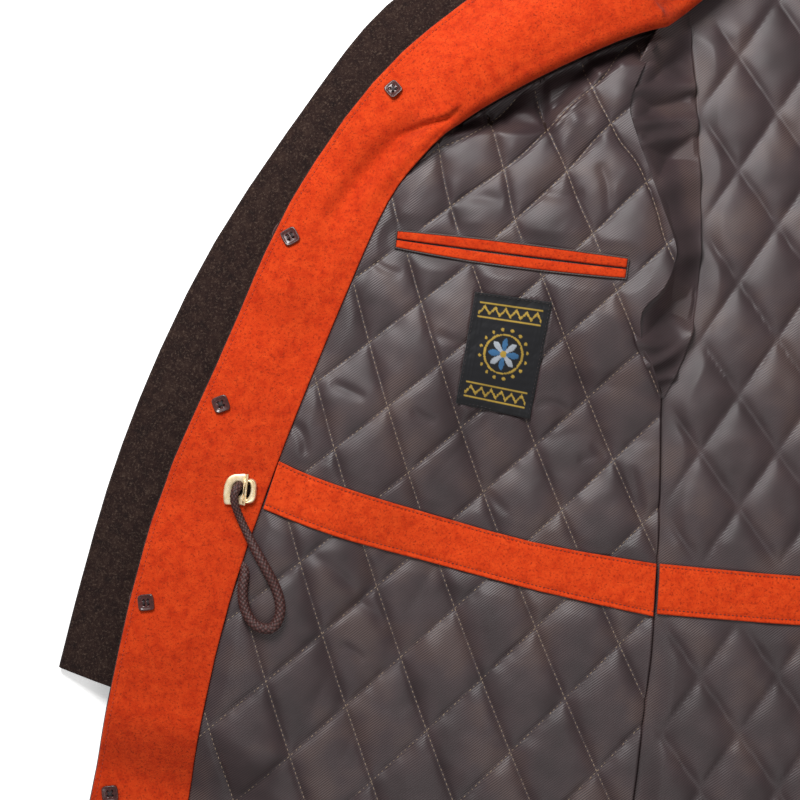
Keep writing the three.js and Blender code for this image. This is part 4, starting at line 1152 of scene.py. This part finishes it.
def pocket():
    """Two welts beside the slit, arched by 0.7 mm, and the piping as a thin tube
    round the outline of both."""
    half, slit = POCKET["height"] / 2, POCKET["slit"] / 2
    for node, low, high in (("pocket_welt_upper", slit + 0.2, half),
                            ("pocket_welt_lower", -half, -slit - 0.2)):
        plan = pocket_bar(low, high)
        x, y = plan[..., 0], plan[..., 1]
        across = np.linspace(-1, 1, plan.shape[0])[:, None]
        top = smooth_under(lining_surface, x, y) + GAP + FELT - 0.7 * across**4 + 0.15 * noise(x, y, 9, 95)
        piece = cloth(f"{node}_felt", plan, top, felt, top - FELT)
        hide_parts(node)
    upper, lower = (pocket_bar(low, low + 1.0, 0.7).mean(0) for low in (half, -half - 1.0))
    line = along(np.vstack([upper, lower[::-1], upper[:1]]), np.linspace(0, 1, 300))
    z = smooth_under(lining_surface, *line.T) + 1.1
    piece = ringed("pocket_piping_satin", tube(np.column_stack([line, z]), 0.55, 10), piping_satin)
    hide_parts("pocket_piping")


pocket()

# %% [markdown]
# ## Stitches
#
# A sewn line is a row of small loops of thread that dive into the cloth at both ends. Each
# stitch is a short spindle of five rings. All stitches of a seam are worked out together as one
# array and become one mesh.

# %% Stitches
def stitches(name, centres, direction, surface, length, radius, made_of, lift):
    """Spindles along a seam: at share u from -1/2 to 1/2 of a stitch its radius is radius (1 - (2u)^4) and
    it stands radius (1 - 2.4 (2u)^2) over the cloth."""
    u = np.linspace(-0.5, 0.5, 5)
    line = centres[:, None] + direction[:, None] * (u * length)[None, :, None]
    z = surface(line[..., 0], line[..., 1]) + lift + radius * (1 - 2.4 * (2 * u) ** 2)
    across = np.stack([-direction[:, 1], direction[:, 0]], -1)
    angle = np.arange(4) * np.pi / 2 + np.pi / 4
    r = radius * (1 - (2 * u) ** 4)[None, :, None]
    plan = line[:, :, None] + across[:, None, None] * (r * np.cos(angle))[..., None]
    points = np.concatenate([plan, (z[..., None] + r * np.sin(angle))[..., None]], -1)
    index = np.arange(len(centres) * 20).reshape(len(centres), 5, 4)
    ring = np.concatenate([index, index[:, :, :1]], 2)
    faces = np.stack([ring[:, :-1, :-1], ring[:, :-1, 1:], ring[:, 1:, 1:], ring[:, 1:, :-1]], -1)
    return make(name, points.reshape(-1, 3), faces.reshape(-1, 4), made_of)


def stitch_places(lines, pitch):
    """Middles and directions of stitches, one pitch apart along each line."""
    centres, directions = [], []
    for line in lines:
        count = max(1, int(places(line)[-1] / pitch))
        share_at = (np.arange(count) + 0.5) / count
        centres.append(along(line, share_at))
        step = along(line, share_at + 0.2 / count) - along(line, share_at - 0.2 / count)
        directions.append(step / lengths(step))
    return np.vstack(centres), np.vstack(directions)


QUILT_STITCH = 3.3


def quilting_thread(name, quilt, span_i, span_j, surface, keep):
    """Thread along both families of quilting lines, where keep(x, y) allows it. Where a line was pulled
    aside, its place is found by steps that undo the pull."""
    t = np.linspace(0, 1, 240)
    lines = [np.stack(crossing(quilt, i + 0 * t, span_j[0] + (span_j[1] - span_j[0]) * t), -1)
             for i in range(span_i[0], span_i[1] + 1)]
    lines += [np.stack(crossing(quilt, span_i[0] + (span_i[1] - span_i[0]) * t, j + 0 * t), -1)
              for j in range(span_j[0], span_j[1] + 1)]
    placed = []
    for line in lines:
        x, y = line.T
        for _ in range(12):
            px, py = pulled(x, y)
            x, y = x + 0.8 * (line[:, 0] - px), y + 0.8 * (line[:, 1] - py)
        placed.append(np.stack([x, y], -1))
    centres, directions = stitch_places(placed, QUILT_STITCH)
    kept = keep(centres[:, 0], centres[:, 1])
    return stitches(name, centres[kept], directions[kept], surface, 2.5, 0.27, quilt_thread, 0.32)


def on_right_lining(x, y):
    """True where the quilting's thread shows: off the casing, pocket and label, and clear of the seams."""
    band = np.vstack([casing_top, casing_foot[::-1]])
    pocket_away = distance(pocket_ends, x, y) > 9.0
    rim = np.minimum(distance(facing_seam, x, y), distance(lining_plan, x, y)) > 1.2
    rim = rim & ((x < -380) | (distance(chest_seam, x, y) > 3.5))
    return within(lining_plan, x, y) & ~within(band, x, y) & ~within(label_corners, x, y) & pocket_away & rim


quilting_thread("right_quilting_thread", QUILT, (-16, 20), (-13, 15), lining_surface, on_right_lining)

# %% Stitching of the felt edges
FELT_STITCH = 2.6


def sew(name, line, surface, made_of, radius=0.3, lift=0.15):
    """One seam: stitches along a line, each 85% of the pitch long."""
    centres, directions = stitch_places([line], FELT_STITCH)
    return stitches(name, centres, directions, surface, FELT_STITCH * 0.85, radius, made_of, lift)


sew("facing_edge_stitching", offset(front_line, EDGE_SEAM)[2:-1], facing_surface, edge_thread)
for where, surface, upper_line, lower_line, _, seed, _ in CASINGS:
    def cover(x, y):
        """The casing's top, on which its stitches lie."""
        return casing_height(surface, upper_line, lower_line, x, y, seed)

    sew(f"casing_{where}_top_stitching", offset(upper_line, -TOP_SEAM), cover, felt_thread)
    sew(f"casing_{where}_foot_stitching", offset(lower_line, FOOT_SEAM), cover, felt_thread)

# %% [markdown]
# ## Woven label
#
# The label is a small damask: a near-black ground with gold, blue and white yarns that come to the face
# only where the pattern needs them. The pattern is generic, two zigzag borders and a rosette. Its yarns are
# about 0.45 mm thick, so the pattern is worked out cell by cell at that size, as a weaver's chart is, and
# kept as a colour at each point of the mesh.

# %% Woven label
def woven_material():
    """Colour from the chart, and low ribs across for the relief of the weave."""
    made, tree, shader = material("woven_damask", "label", Roughness=0.72, Specular_IOR_Level=0.25,
                                  Sheen_Weight=0.15)
    chart = add(tree, "ShaderNodeAttribute", attribute_name="colour_and_painted_shade")
    place = add(tree, "ShaderNodeTexCoord").outputs["Object"]
    turned = add(tree, "ShaderNodeMapping", {"Vector": place, "Rotation": (0, 0, 0.13)})
    ribs = add(tree, "ShaderNodeTexWave", {"Vector": turned.outputs[0], "Scale": MM / 16, "Distortion": 0.6},
               bands_direction="Y")
    tree.links.new(chart.outputs["Color"], shader.inputs["Base Color"])
    bump = add(tree, "ShaderNodeBump", {"Height": ribs.outputs["Fac"], "Strength": 0.4, "Distance": 0.0003})
    tree.links.new(bump.outputs["Normal"], shader.inputs["Normal"])
    return made


LABEL_WIDE, LABEL_TALL = 48.5, 72.0
YARN = 0.45
WOVEN = 0.8  # thickness of the label
GROUND, GOLD, BLUE, WHITE = range(4)


def label_chart(u, v):
    """Which yarn shows at u across and v down in mm. Borders: a zigzag of 6.6 mm between two lines. Middle:
    eight petals whose length goes with |cos 4 a|^0.7, in a ring of 12 mm and a ring of 16 dots."""
    yarn = np.full(u.shape, GROUND)
    u = u - LABEL_WIDE / 2
    for band in (10.5, LABEL_TALL - 10.5):
        zigzag = np.abs(np.abs((u + 3.3) % 6.6 - 3.3) * 1.4 - 2.3 + (v - band))
        line = np.abs(np.abs(v - band) - 4.6)
        yarn[((zigzag < 0.95) | (line < 0.5)) & (np.abs(u) < 20)] = GOLD
    v = v - LABEL_TALL / 2
    r, angle = np.hypot(u, v), np.arctan2(v, u)
    petal = 8.6 * np.abs(np.cos(4 * angle)) ** 0.7 + 1.2
    second = np.floor((angle + np.pi / 8) / (np.pi / 4)).astype(int) % 2 == 1
    yarn[(r < petal) & ~second] = BLUE
    yarn[(r < petal) & second] = WHITE
    dots = np.hypot(r - 15.2, 15.2 * ((angle * 16 / (2 * np.pi)) % 1 - 0.5) * 2 * np.pi / 16)
    yarn[(r < 2.0) | (np.abs(r - 12.0) < 0.6) | (dots < 1.0)] = GOLD
    return yarn


def label_surface(x, y):
    """The label's plain face, 1.5 mm over the averaged lining."""
    return smooth_under(lining_surface, x, y) + 1.5


def woven_label():
    """A fine grid between the label's corners, each point coloured from the chart. Its lower edge curls up
    by 0.9 exp(-(distance / 5)^2)."""
    yarns = np.array([linear(c) for c in ("#0c0c10", "#957a2e", "#2c5478", "#8d9299")])
    s, t = spread(LABEL_TALL, 0.5, (0, 0.3)), spread(LABEL_WIDE, 0.5, (0, 0.3))
    top, bottom = label_corners[:2], label_corners[[3, 2]]
    plan = patch(top, bottom, [top[0], bottom[0]], [top[1], bottom[1]], s, t)
    v, u = np.meshgrid(s * LABEL_TALL, t * LABEL_WIDE, indexing="ij")
    u, v = (np.floor(u / YARN) + 0.5) * YARN, (np.floor(v / YARN) + 0.5) * YARN
    yarn = label_chart(u, v)
    x, y = plan[..., 0], plan[..., 1]
    tone_and_fold_shade = 1 + 0.14 * noise(u * 7, v * 7, 1.0, 97) + 0.1 * noise(u, v, 6.0, 98)
    # Painted shade: the folded ends are darkened to 60%, for the shade where the fold turns away from the
    # light.
    tone_and_fold_shade = tone_and_fold_shade * np.where(np.abs(v - LABEL_TALL / 2) > 32.5, 0.6, 1)  # the folded ends are darker
    colour_and_painted_shade = yarns[yarn] * tone_and_fold_shade[..., None]
    colour_and_painted_shade[..., 3] = 1
    curl = 0.9 * np.exp(-((s[:, None] - 1) * LABEL_TALL / 5) ** 2) * (0.5 + 0.5 * noise(x, y, 12, 99))
    height = label_surface(x, y) + 0.16 * (yarn > 0) + curl
    inner = np.tile(yarns[GROUND], ((len(s) - 2) * (len(t) - 2), 1))
    piece = cloth("woven_label_damask", plan, height, woven_material(), height - WOVEN,
                  colour_and_painted_shade=np.vstack([colour_and_painted_shade.reshape(-1, 4), inner]))
    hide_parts("woven_label")
    seam = offset(np.vstack([label_corners[[3, 0, 1, 2]], label_corners[3:]]), -1.2)
    sew("label_stitching", along(seam, np.linspace(0.01, 0.99, 90)), label_surface, dark_thread, 0.24, 0.05)


woven_label()

# %% [markdown]
# ## Buttons
#
# Four-hole buttons back the real ones outside. A polar grid suits them: the outline is a superellipse, a
# square with soft corners, and the rings follow a profile with a raised rim, a shallow dish and a flat
# foot. Points near a hole are pushed down.

# %% Buttons
def plane_at(surface, x, y, reach):
    """Height and slopes of the plane that lies best on a surface round a point."""
    u, v = np.meshgrid(np.linspace(-reach, reach, 7), np.linspace(-reach, reach, 7))
    z = surface(x + u, y + v).ravel()
    terms = np.stack([np.ones(u.size), u.ravel(), v.ravel()], 1)
    return np.linalg.lstsq(terms, z, rcond=None)[0]


SIDES = 96  # points round a button and round the lock's plates
HOLES = ((1, 1), (-1, 1), (-1, -1), (1, -1))
HOLE_PLACE, HOLE_RADIUS, HOLE_DEPTH = 1.35, 0.85, 1.1
FACE = 0.72  # height of the dish, as a share of the thickness


def button(name, node, x, y, turn, surface, size, power, thick, up=1.0):
    """Polar grid: at angle a the outline is size / 2 / (|cos a|^p + |sin a|^p)^(1/p)."""
    rings = np.array([0, 0.12, 0.2, 0.28, 0.34, 0.4, 0.47, 0.55, 0.66, 0.76, 0.84, 0.9, 0.95, 0.98, 1.0, 1.0,
                      0.97, 0.9, 0.5, 0.0])
    height = np.array([FACE] * 8 + [0.76, 0.86, 0.97, 1.0, 0.96, 0.88, 0.74, 0.3, 0.1, 0, 0, 0]) * thick
    angle = np.linspace(0, 2 * np.pi, SIDES, endpoint=False)
    outline = size / 2 / (np.abs(np.cos(angle)) ** power + np.abs(np.sin(angle)) ** power) ** (1 / power)
    u, v = rings[:, None] * outline * np.cos(angle), rings[:, None] * outline * np.sin(angle)
    z = np.repeat(height[:, None], SIDES, 1)
    for a, b in HOLES:
        hole = np.hypot(u - HOLE_PLACE * a, v - HOLE_PLACE * b)
        z[:12] = np.where(hole[:12] < HOLE_RADIUS, z[:12] - HOLE_DEPTH, z[:12])
    c, s = np.cos(turn), np.sin(turn)
    px, py = x + u * c - v * s, y + u * s + v * c
    base = plane_at(surface, x, y, size / 2)
    z = base[0] + base[1] * (px - x) + base[2] * (py - y) + up * z
    index = np.arange(z.size).reshape(z.shape)
    faces = quads(index, wrap=True)[:, ::-1] if up < 0 else quads(index, wrap=True)
    piece = make(name, np.dstack([px, py, z]).reshape(-1, 3), faces, button_polyester)
    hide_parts(node)
    return base


def thread_bars(name, x, y, turn, base, thick, pairs):
    """Doubled sewing thread from hole to hole: two low arches 0.56 mm apart over the button's middle, which
    fall with the sixth power of the way from there."""
    points, faces = [], []
    index = np.arange(9 * 7).reshape(9, 7)
    t = np.linspace(0, 1, 9)
    c, s = np.cos(turn), np.sin(turn)
    for first, last in pairs:
        (a0, b0), (a1, b1) = HOLES[first], HOLES[last]
        run = np.array([a1 - a0, b1 - b0], float)
        run /= np.hypot(*run)
        for side in (-0.28, 0.28):
            u = HOLE_PLACE * (a0 + (a1 - a0) * t) - run[1] * side
            v = HOLE_PLACE * (b0 + (b1 - b0) * t) + run[0] * side
            px, py = x + u * c - v * s, y + u * s + v * c
            z = base[0] + base[1] * (px - x) + base[2] * (py - y) + thick * FACE + 0.45
            z = z - 1.3 * (2 * t - 1) ** 6
            points.append(tube(np.stack([px, py, z], -1), 0.3, 7).reshape(-1, 3))
            faces.append(quads(index + index.size * len(faces), wrap=True)[:, ::-1])
    return make(name, np.vstack(points), np.vstack(faces), dark_thread)


CROSS = ((0, 2), (1, 3))
BARS = ((0, 3), (1, 2))
BACKING_THICK = 2.0


def under_front(x, y):
    """What the outer buttons hang from: the front's underside."""
    return front_under(x, y) - 0.1


for number, (bx, by, bt) in enumerate(BUTTONS, 1):
    tilted = number == 1  # this one hangs loose, leans and shows shorter

    def seat(x, y):
        """The plane that the backing button lies on."""
        return facing_surface(x, y) + 0.15 + tilted * (0.5 + 0.08 * (x - bx) - 0.16 * (y - by))

    base = button(f"backing_button_{number}_square", f"backing_button_{number}", bx, by, bt, seat,
                  9.3 if tilted else 10.2, 4.6, BACKING_THICK)
    thread_bars(f"backing_button_{number}_thread", bx, by, bt, base, BACKING_THICK,
                CROSS if number % 2 else BARS)
    button(f"outer_button_{number}_round", f"outer_button_{number}", bx, by, bt, under_front,
           24.0, 2.0, 3.6, -1.0)

# %% [markdown]
# ## Cord lock
#
# The lock is a cast plate with an eye for the cord, a lip along one side and a spring thumb piece behind
# it. Both parts are plates with a hole: two outlines matched point by point, with a profile of a few rings
# between them that rounds every rim.

# %% Cord lock
LOCK = np.array([-487.0, 518.5])
lock_base = plane_at(facing_surface, *LOCK, 10)


def on_lock(plan, high):
    """Points at a height over the plane of the facing beneath the lock."""
    return np.column_stack([plan, lock_base[0] + (plan - LOCK) @ lock_base[1:] + high])


def ring_plate(name, node, outline, hole, profile):
    """Rings between a hole and an outline: each row of the profile is a share of the way from hole to
    outline, mm to add to it, and a height. The hole is an ellipse: its middle, half axes and tilt."""
    rim = along(edge(np.vstack([outline[-1:], outline, outline[:2]]), 10)[10:-10],
                np.linspace(0, 1, SIDES + 1)[:-1])
    middle, (wide, tall, tilt) = np.array(hole[:2]), hole[2:]
    direction = np.arctan2(rim[:, 1] - middle[1], rim[:, 0] - middle[0]) - tilt
    reach = 1 / np.sqrt((np.cos(direction) / wide) ** 2 + (np.sin(direction) / tall) ** 2)
    inside = middle + np.stack([np.cos(direction + tilt), np.sin(direction + tilt)], -1) * reach[:, None]
    across = (rim - inside) / lengths(rim - inside)
    points = [on_lock(inside + (rim - inside) * part + across * more, high) for part, more, high in profile]
    index = np.arange(len(profile) * SIDES).reshape(len(profile), SIDES)
    piece = make(name, np.vstack(points), quads(np.vstack([index, index[:1]]), wrap=True), lock_metal)
    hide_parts(node)


PLATE_OUTLINE = np.array([(-483.3, 528.9), (-488, 529.0), (-491.6, 528.6), (-494.8, 526.4), (-496.6, 522.6),
                          (-497.5, 518), (-497.6, 514), (-496.8, 510.2), (-493, 509.6), (-488, 509.5),
                          (-485.3, 509.5), (-484.8, 513), (-484.2, 517), (-483.6, 521), (-483.0, 525)])
EYE = (-488.4, 519.6, 3.3, 4.5, -0.22)
plate_profile = [(0, 0.0, 0.2), (0, 0.0, 1.7), (0, 0.35, 2.3), (0, 0.9, 2.55), (1, -1.2, 2.6),
                 (1, -0.5, 2.4), (1, -0.1, 1.9), (1, 0.0, 1.2), (1, -0.1, 0.2)]
ring_plate("cord_lock_plate", "cord_lock_body", PLATE_OUTLINE, EYE, plate_profile)
THUMB_OUTLINE = np.array([(-484.6, 525.9), (-481.5, 526.2), (-478.6, 525.6), (-477.0, 523.5), (-476.8, 519),
                          (-477.3, 514.5), (-478.8, 511.6), (-481.5, 510.4), (-484.6, 510.5), (-486.0, 512.0),
                          (-485.6, 516), (-485.2, 520), (-485.0, 524)])
SLOT_HOLE = (-482.6, 518.6, 2.1, 5.4, -0.16)
thumb_profile = [(0, 0.0, 0.3), (0, 0.0, 3.2), (0, 0.4, 4.0), (0.5, -0.2, 4.1), (0.55, 0.0, 3.6),
                 (0.62, 0.0, 3.6), (0.7, 0.0, 4.1), (1, -0.7, 3.8), (1, -0.1, 3.1), (1, 0.0, 1.6),
                 (1, -0.2, 0.3)]
ring_plate("cord_lock_thumb_ring", "cord_lock_thumb", THUMB_OUTLINE, SLOT_HOLE, thumb_profile)

# %% The lock's lip, and a dark disc of painted shade under its holes
lip_line = on_lock(np.linspace([-482.2, 528.8], [-484.6, 509.6], 24), 3.4)
lip_rings = tube(lip_line, 0.85, 12)
lip_rings[..., 2] = lip_line[:, None, 2] + (lip_rings[..., 2] - lip_line[:, None, 2]) * 1.8
ringed("cord_lock_lip", lip_rings, lock_metal)
# Painted shade: a near-black disc under the plate, seen only through the eye and the slot, stands for the
# shade inside the lock.
angle = np.linspace(0, 2 * np.pi, 49)[:-1]
SHADE_DISC = np.array([-486.2, 519])
circle = np.column_stack([7.2 * np.cos(angle), 6.6 * np.sin(angle)])
shade_disc = [on_lock(SHADE_DISC + reach * circle, high) for reach,
          high in ((1, 0.2), (1, 0.9), (0.9, 1.1), (0.02, 1.1))]
ringed("cord_lock_shade_disc", np.stack(shade_disc), shade_disc_metal)
print("cord lock sits at", lock_base.round(2))

# %% [markdown]
# ## Collar
#
# The stand collar lies open round the neck: an outer band of loden and a slightly narrower band of felt.

# %% Collar
neck_line = np.vstack([right_neck, back_neck[1:], mirrored(back_neck)[1:]])
COLLAR_HEIGHT = 48


def collar_band(name, node, line, side, seam_height, free_height, thick, lift, inset, made_of, seed):
    """A closed strip from the neck seam to the collar's free edge, straight in height between them."""
    s = np.linspace(0, 1, 150)
    rim = np.array([0, 0.012, 0.03])
    t = np.concatenate([rim, np.linspace(0.06, 0.94, 22), 1 - rim[::-1]])
    seam, free = along(offset(line, side * GAP), s), along(offset(line, side * (GAP + COLLAR_HEIGHT)), s)
    part = inset + (1 - 2 * inset) * t
    plan = seam[:, None] + (free - seam)[:, None] * part[None, :, None]
    x, y = along(line, s).T[..., None]
    low = seam_height(x, y) * (1 - part) + free_height(x, y) * part
    wave = 0.5 * noise(plan[..., 0], plan[..., 1], 24, seed) + 0.5
    under = low + lift + wave
    piece = cloth(name, plan, under + thick, made_of, under)
    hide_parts(node)
    area_of(piece) / 0.048
    area_of(piece)


def on_front(x, y):
    """The neck seam's height: on the open front, and on the table behind the neck."""
    return np.where(x < -89, front_under(x, y), 0.0)


def half_down(x, y):
    """The collar's free edge lies half as high as its seam."""
    return 0.5 * on_front(x, y)


collar_band("collar_outer_loden", "collar_outer", neck_line, 1, on_front, half_down,
            LODEN, 0.0, 0.0, loden, 110)
collar_band("collar_inner_felt", "collar_inner", neck_line, 1, on_front, half_down,
            FELT, LODEN + 0.2, 0.03, felt, 110)
collar_band("collar_left_loden", "collar_left", left_neck[1:], -1,
            lambda x, y: np.maximum(left_under(x, y), 6.2), lambda x, y: 8.6 + 0 * x,
            LODEN, 0.0, 0.0, loden, 112)

# %% [markdown]
# ## Light, floor and finish
#
# A small key light from behind the neck draws the quilting and the folds with soft shadows, a wide weak
# fill from the hem opens them, and the white world lights the rest evenly, as a photographer's tent does.

# %% Floor and light
def floor():
    """One large square of pale board, 0.2 mm below the coat, so that nothing flickers where they touch."""
    points = np.array([(-3000, -3000, -0.2), (3000, -3000, -0.2), (3000, 3000, -0.2), (-3000, 3000, -0.2)])
    mesh = bpy.data.meshes.new("floor")
    mesh.from_pydata((points / 1000).tolist(), [], [(0, 1, 2, 3)])
    table, tree, shader = material("white_lacquered_board", "loden", Roughness=0.6, Emission_Strength=0.35)
    place = add(tree, "ShaderNodeTexCoord").outputs["Object"]
    cloud = add(tree, "ShaderNodeTexNoise", {"Vector": place, "Scale": 3.0})
    shades = add(tree, "ShaderNodeValToRGB", {"Fac": cloud.outputs["Fac"]},
                 [(0.3, linear("#f6f6f5")), (0.7, linear("#fafaf9"))])
    tree.links.new(shades.outputs["Color"], shader.inputs["Base Color"])
    mesh.materials.append(table)
    piece = bpy.data.objects.new("floor", mesh)
    bpy.context.scene.collection.objects.link(piece)


floor()


def area_light(name, position, target, size, power):
    """A round soft light that looks from its position at the target."""
    data = bpy.data.lights.new(name, "AREA")
    data.shape = "DISK"
    data.size = size
    data.energy = power
    light = bpy.data.objects.new(name, data)
    light.location = position
    light.rotation_euler = (Vector(target) - Vector(position)).to_track_quat("-Z", "Y").to_euler()
    bpy.context.scene.collection.objects.link(light)


area_light("key", position=(-0.6, 0.8, 0.88), target=(-0.28, 0.14, 0), size=0.5, power=19)
area_light("fill", position=(0.1, -0.85, 1.2), target=(-0.3, 0.1, 0), size=0.9, power=5)
world = bpy.data.worlds.new("studio")
bpy.context.scene.world = world
world.use_nodes = True
world.node_tree.nodes["Background"].inputs["Color"].default_value = (1, 1, 1, 1)
world.node_tree.nodes["Background"].inputs["Strength"].default_value = 0.38
bpy.context.scene.view_settings.view_transform = "Standard"
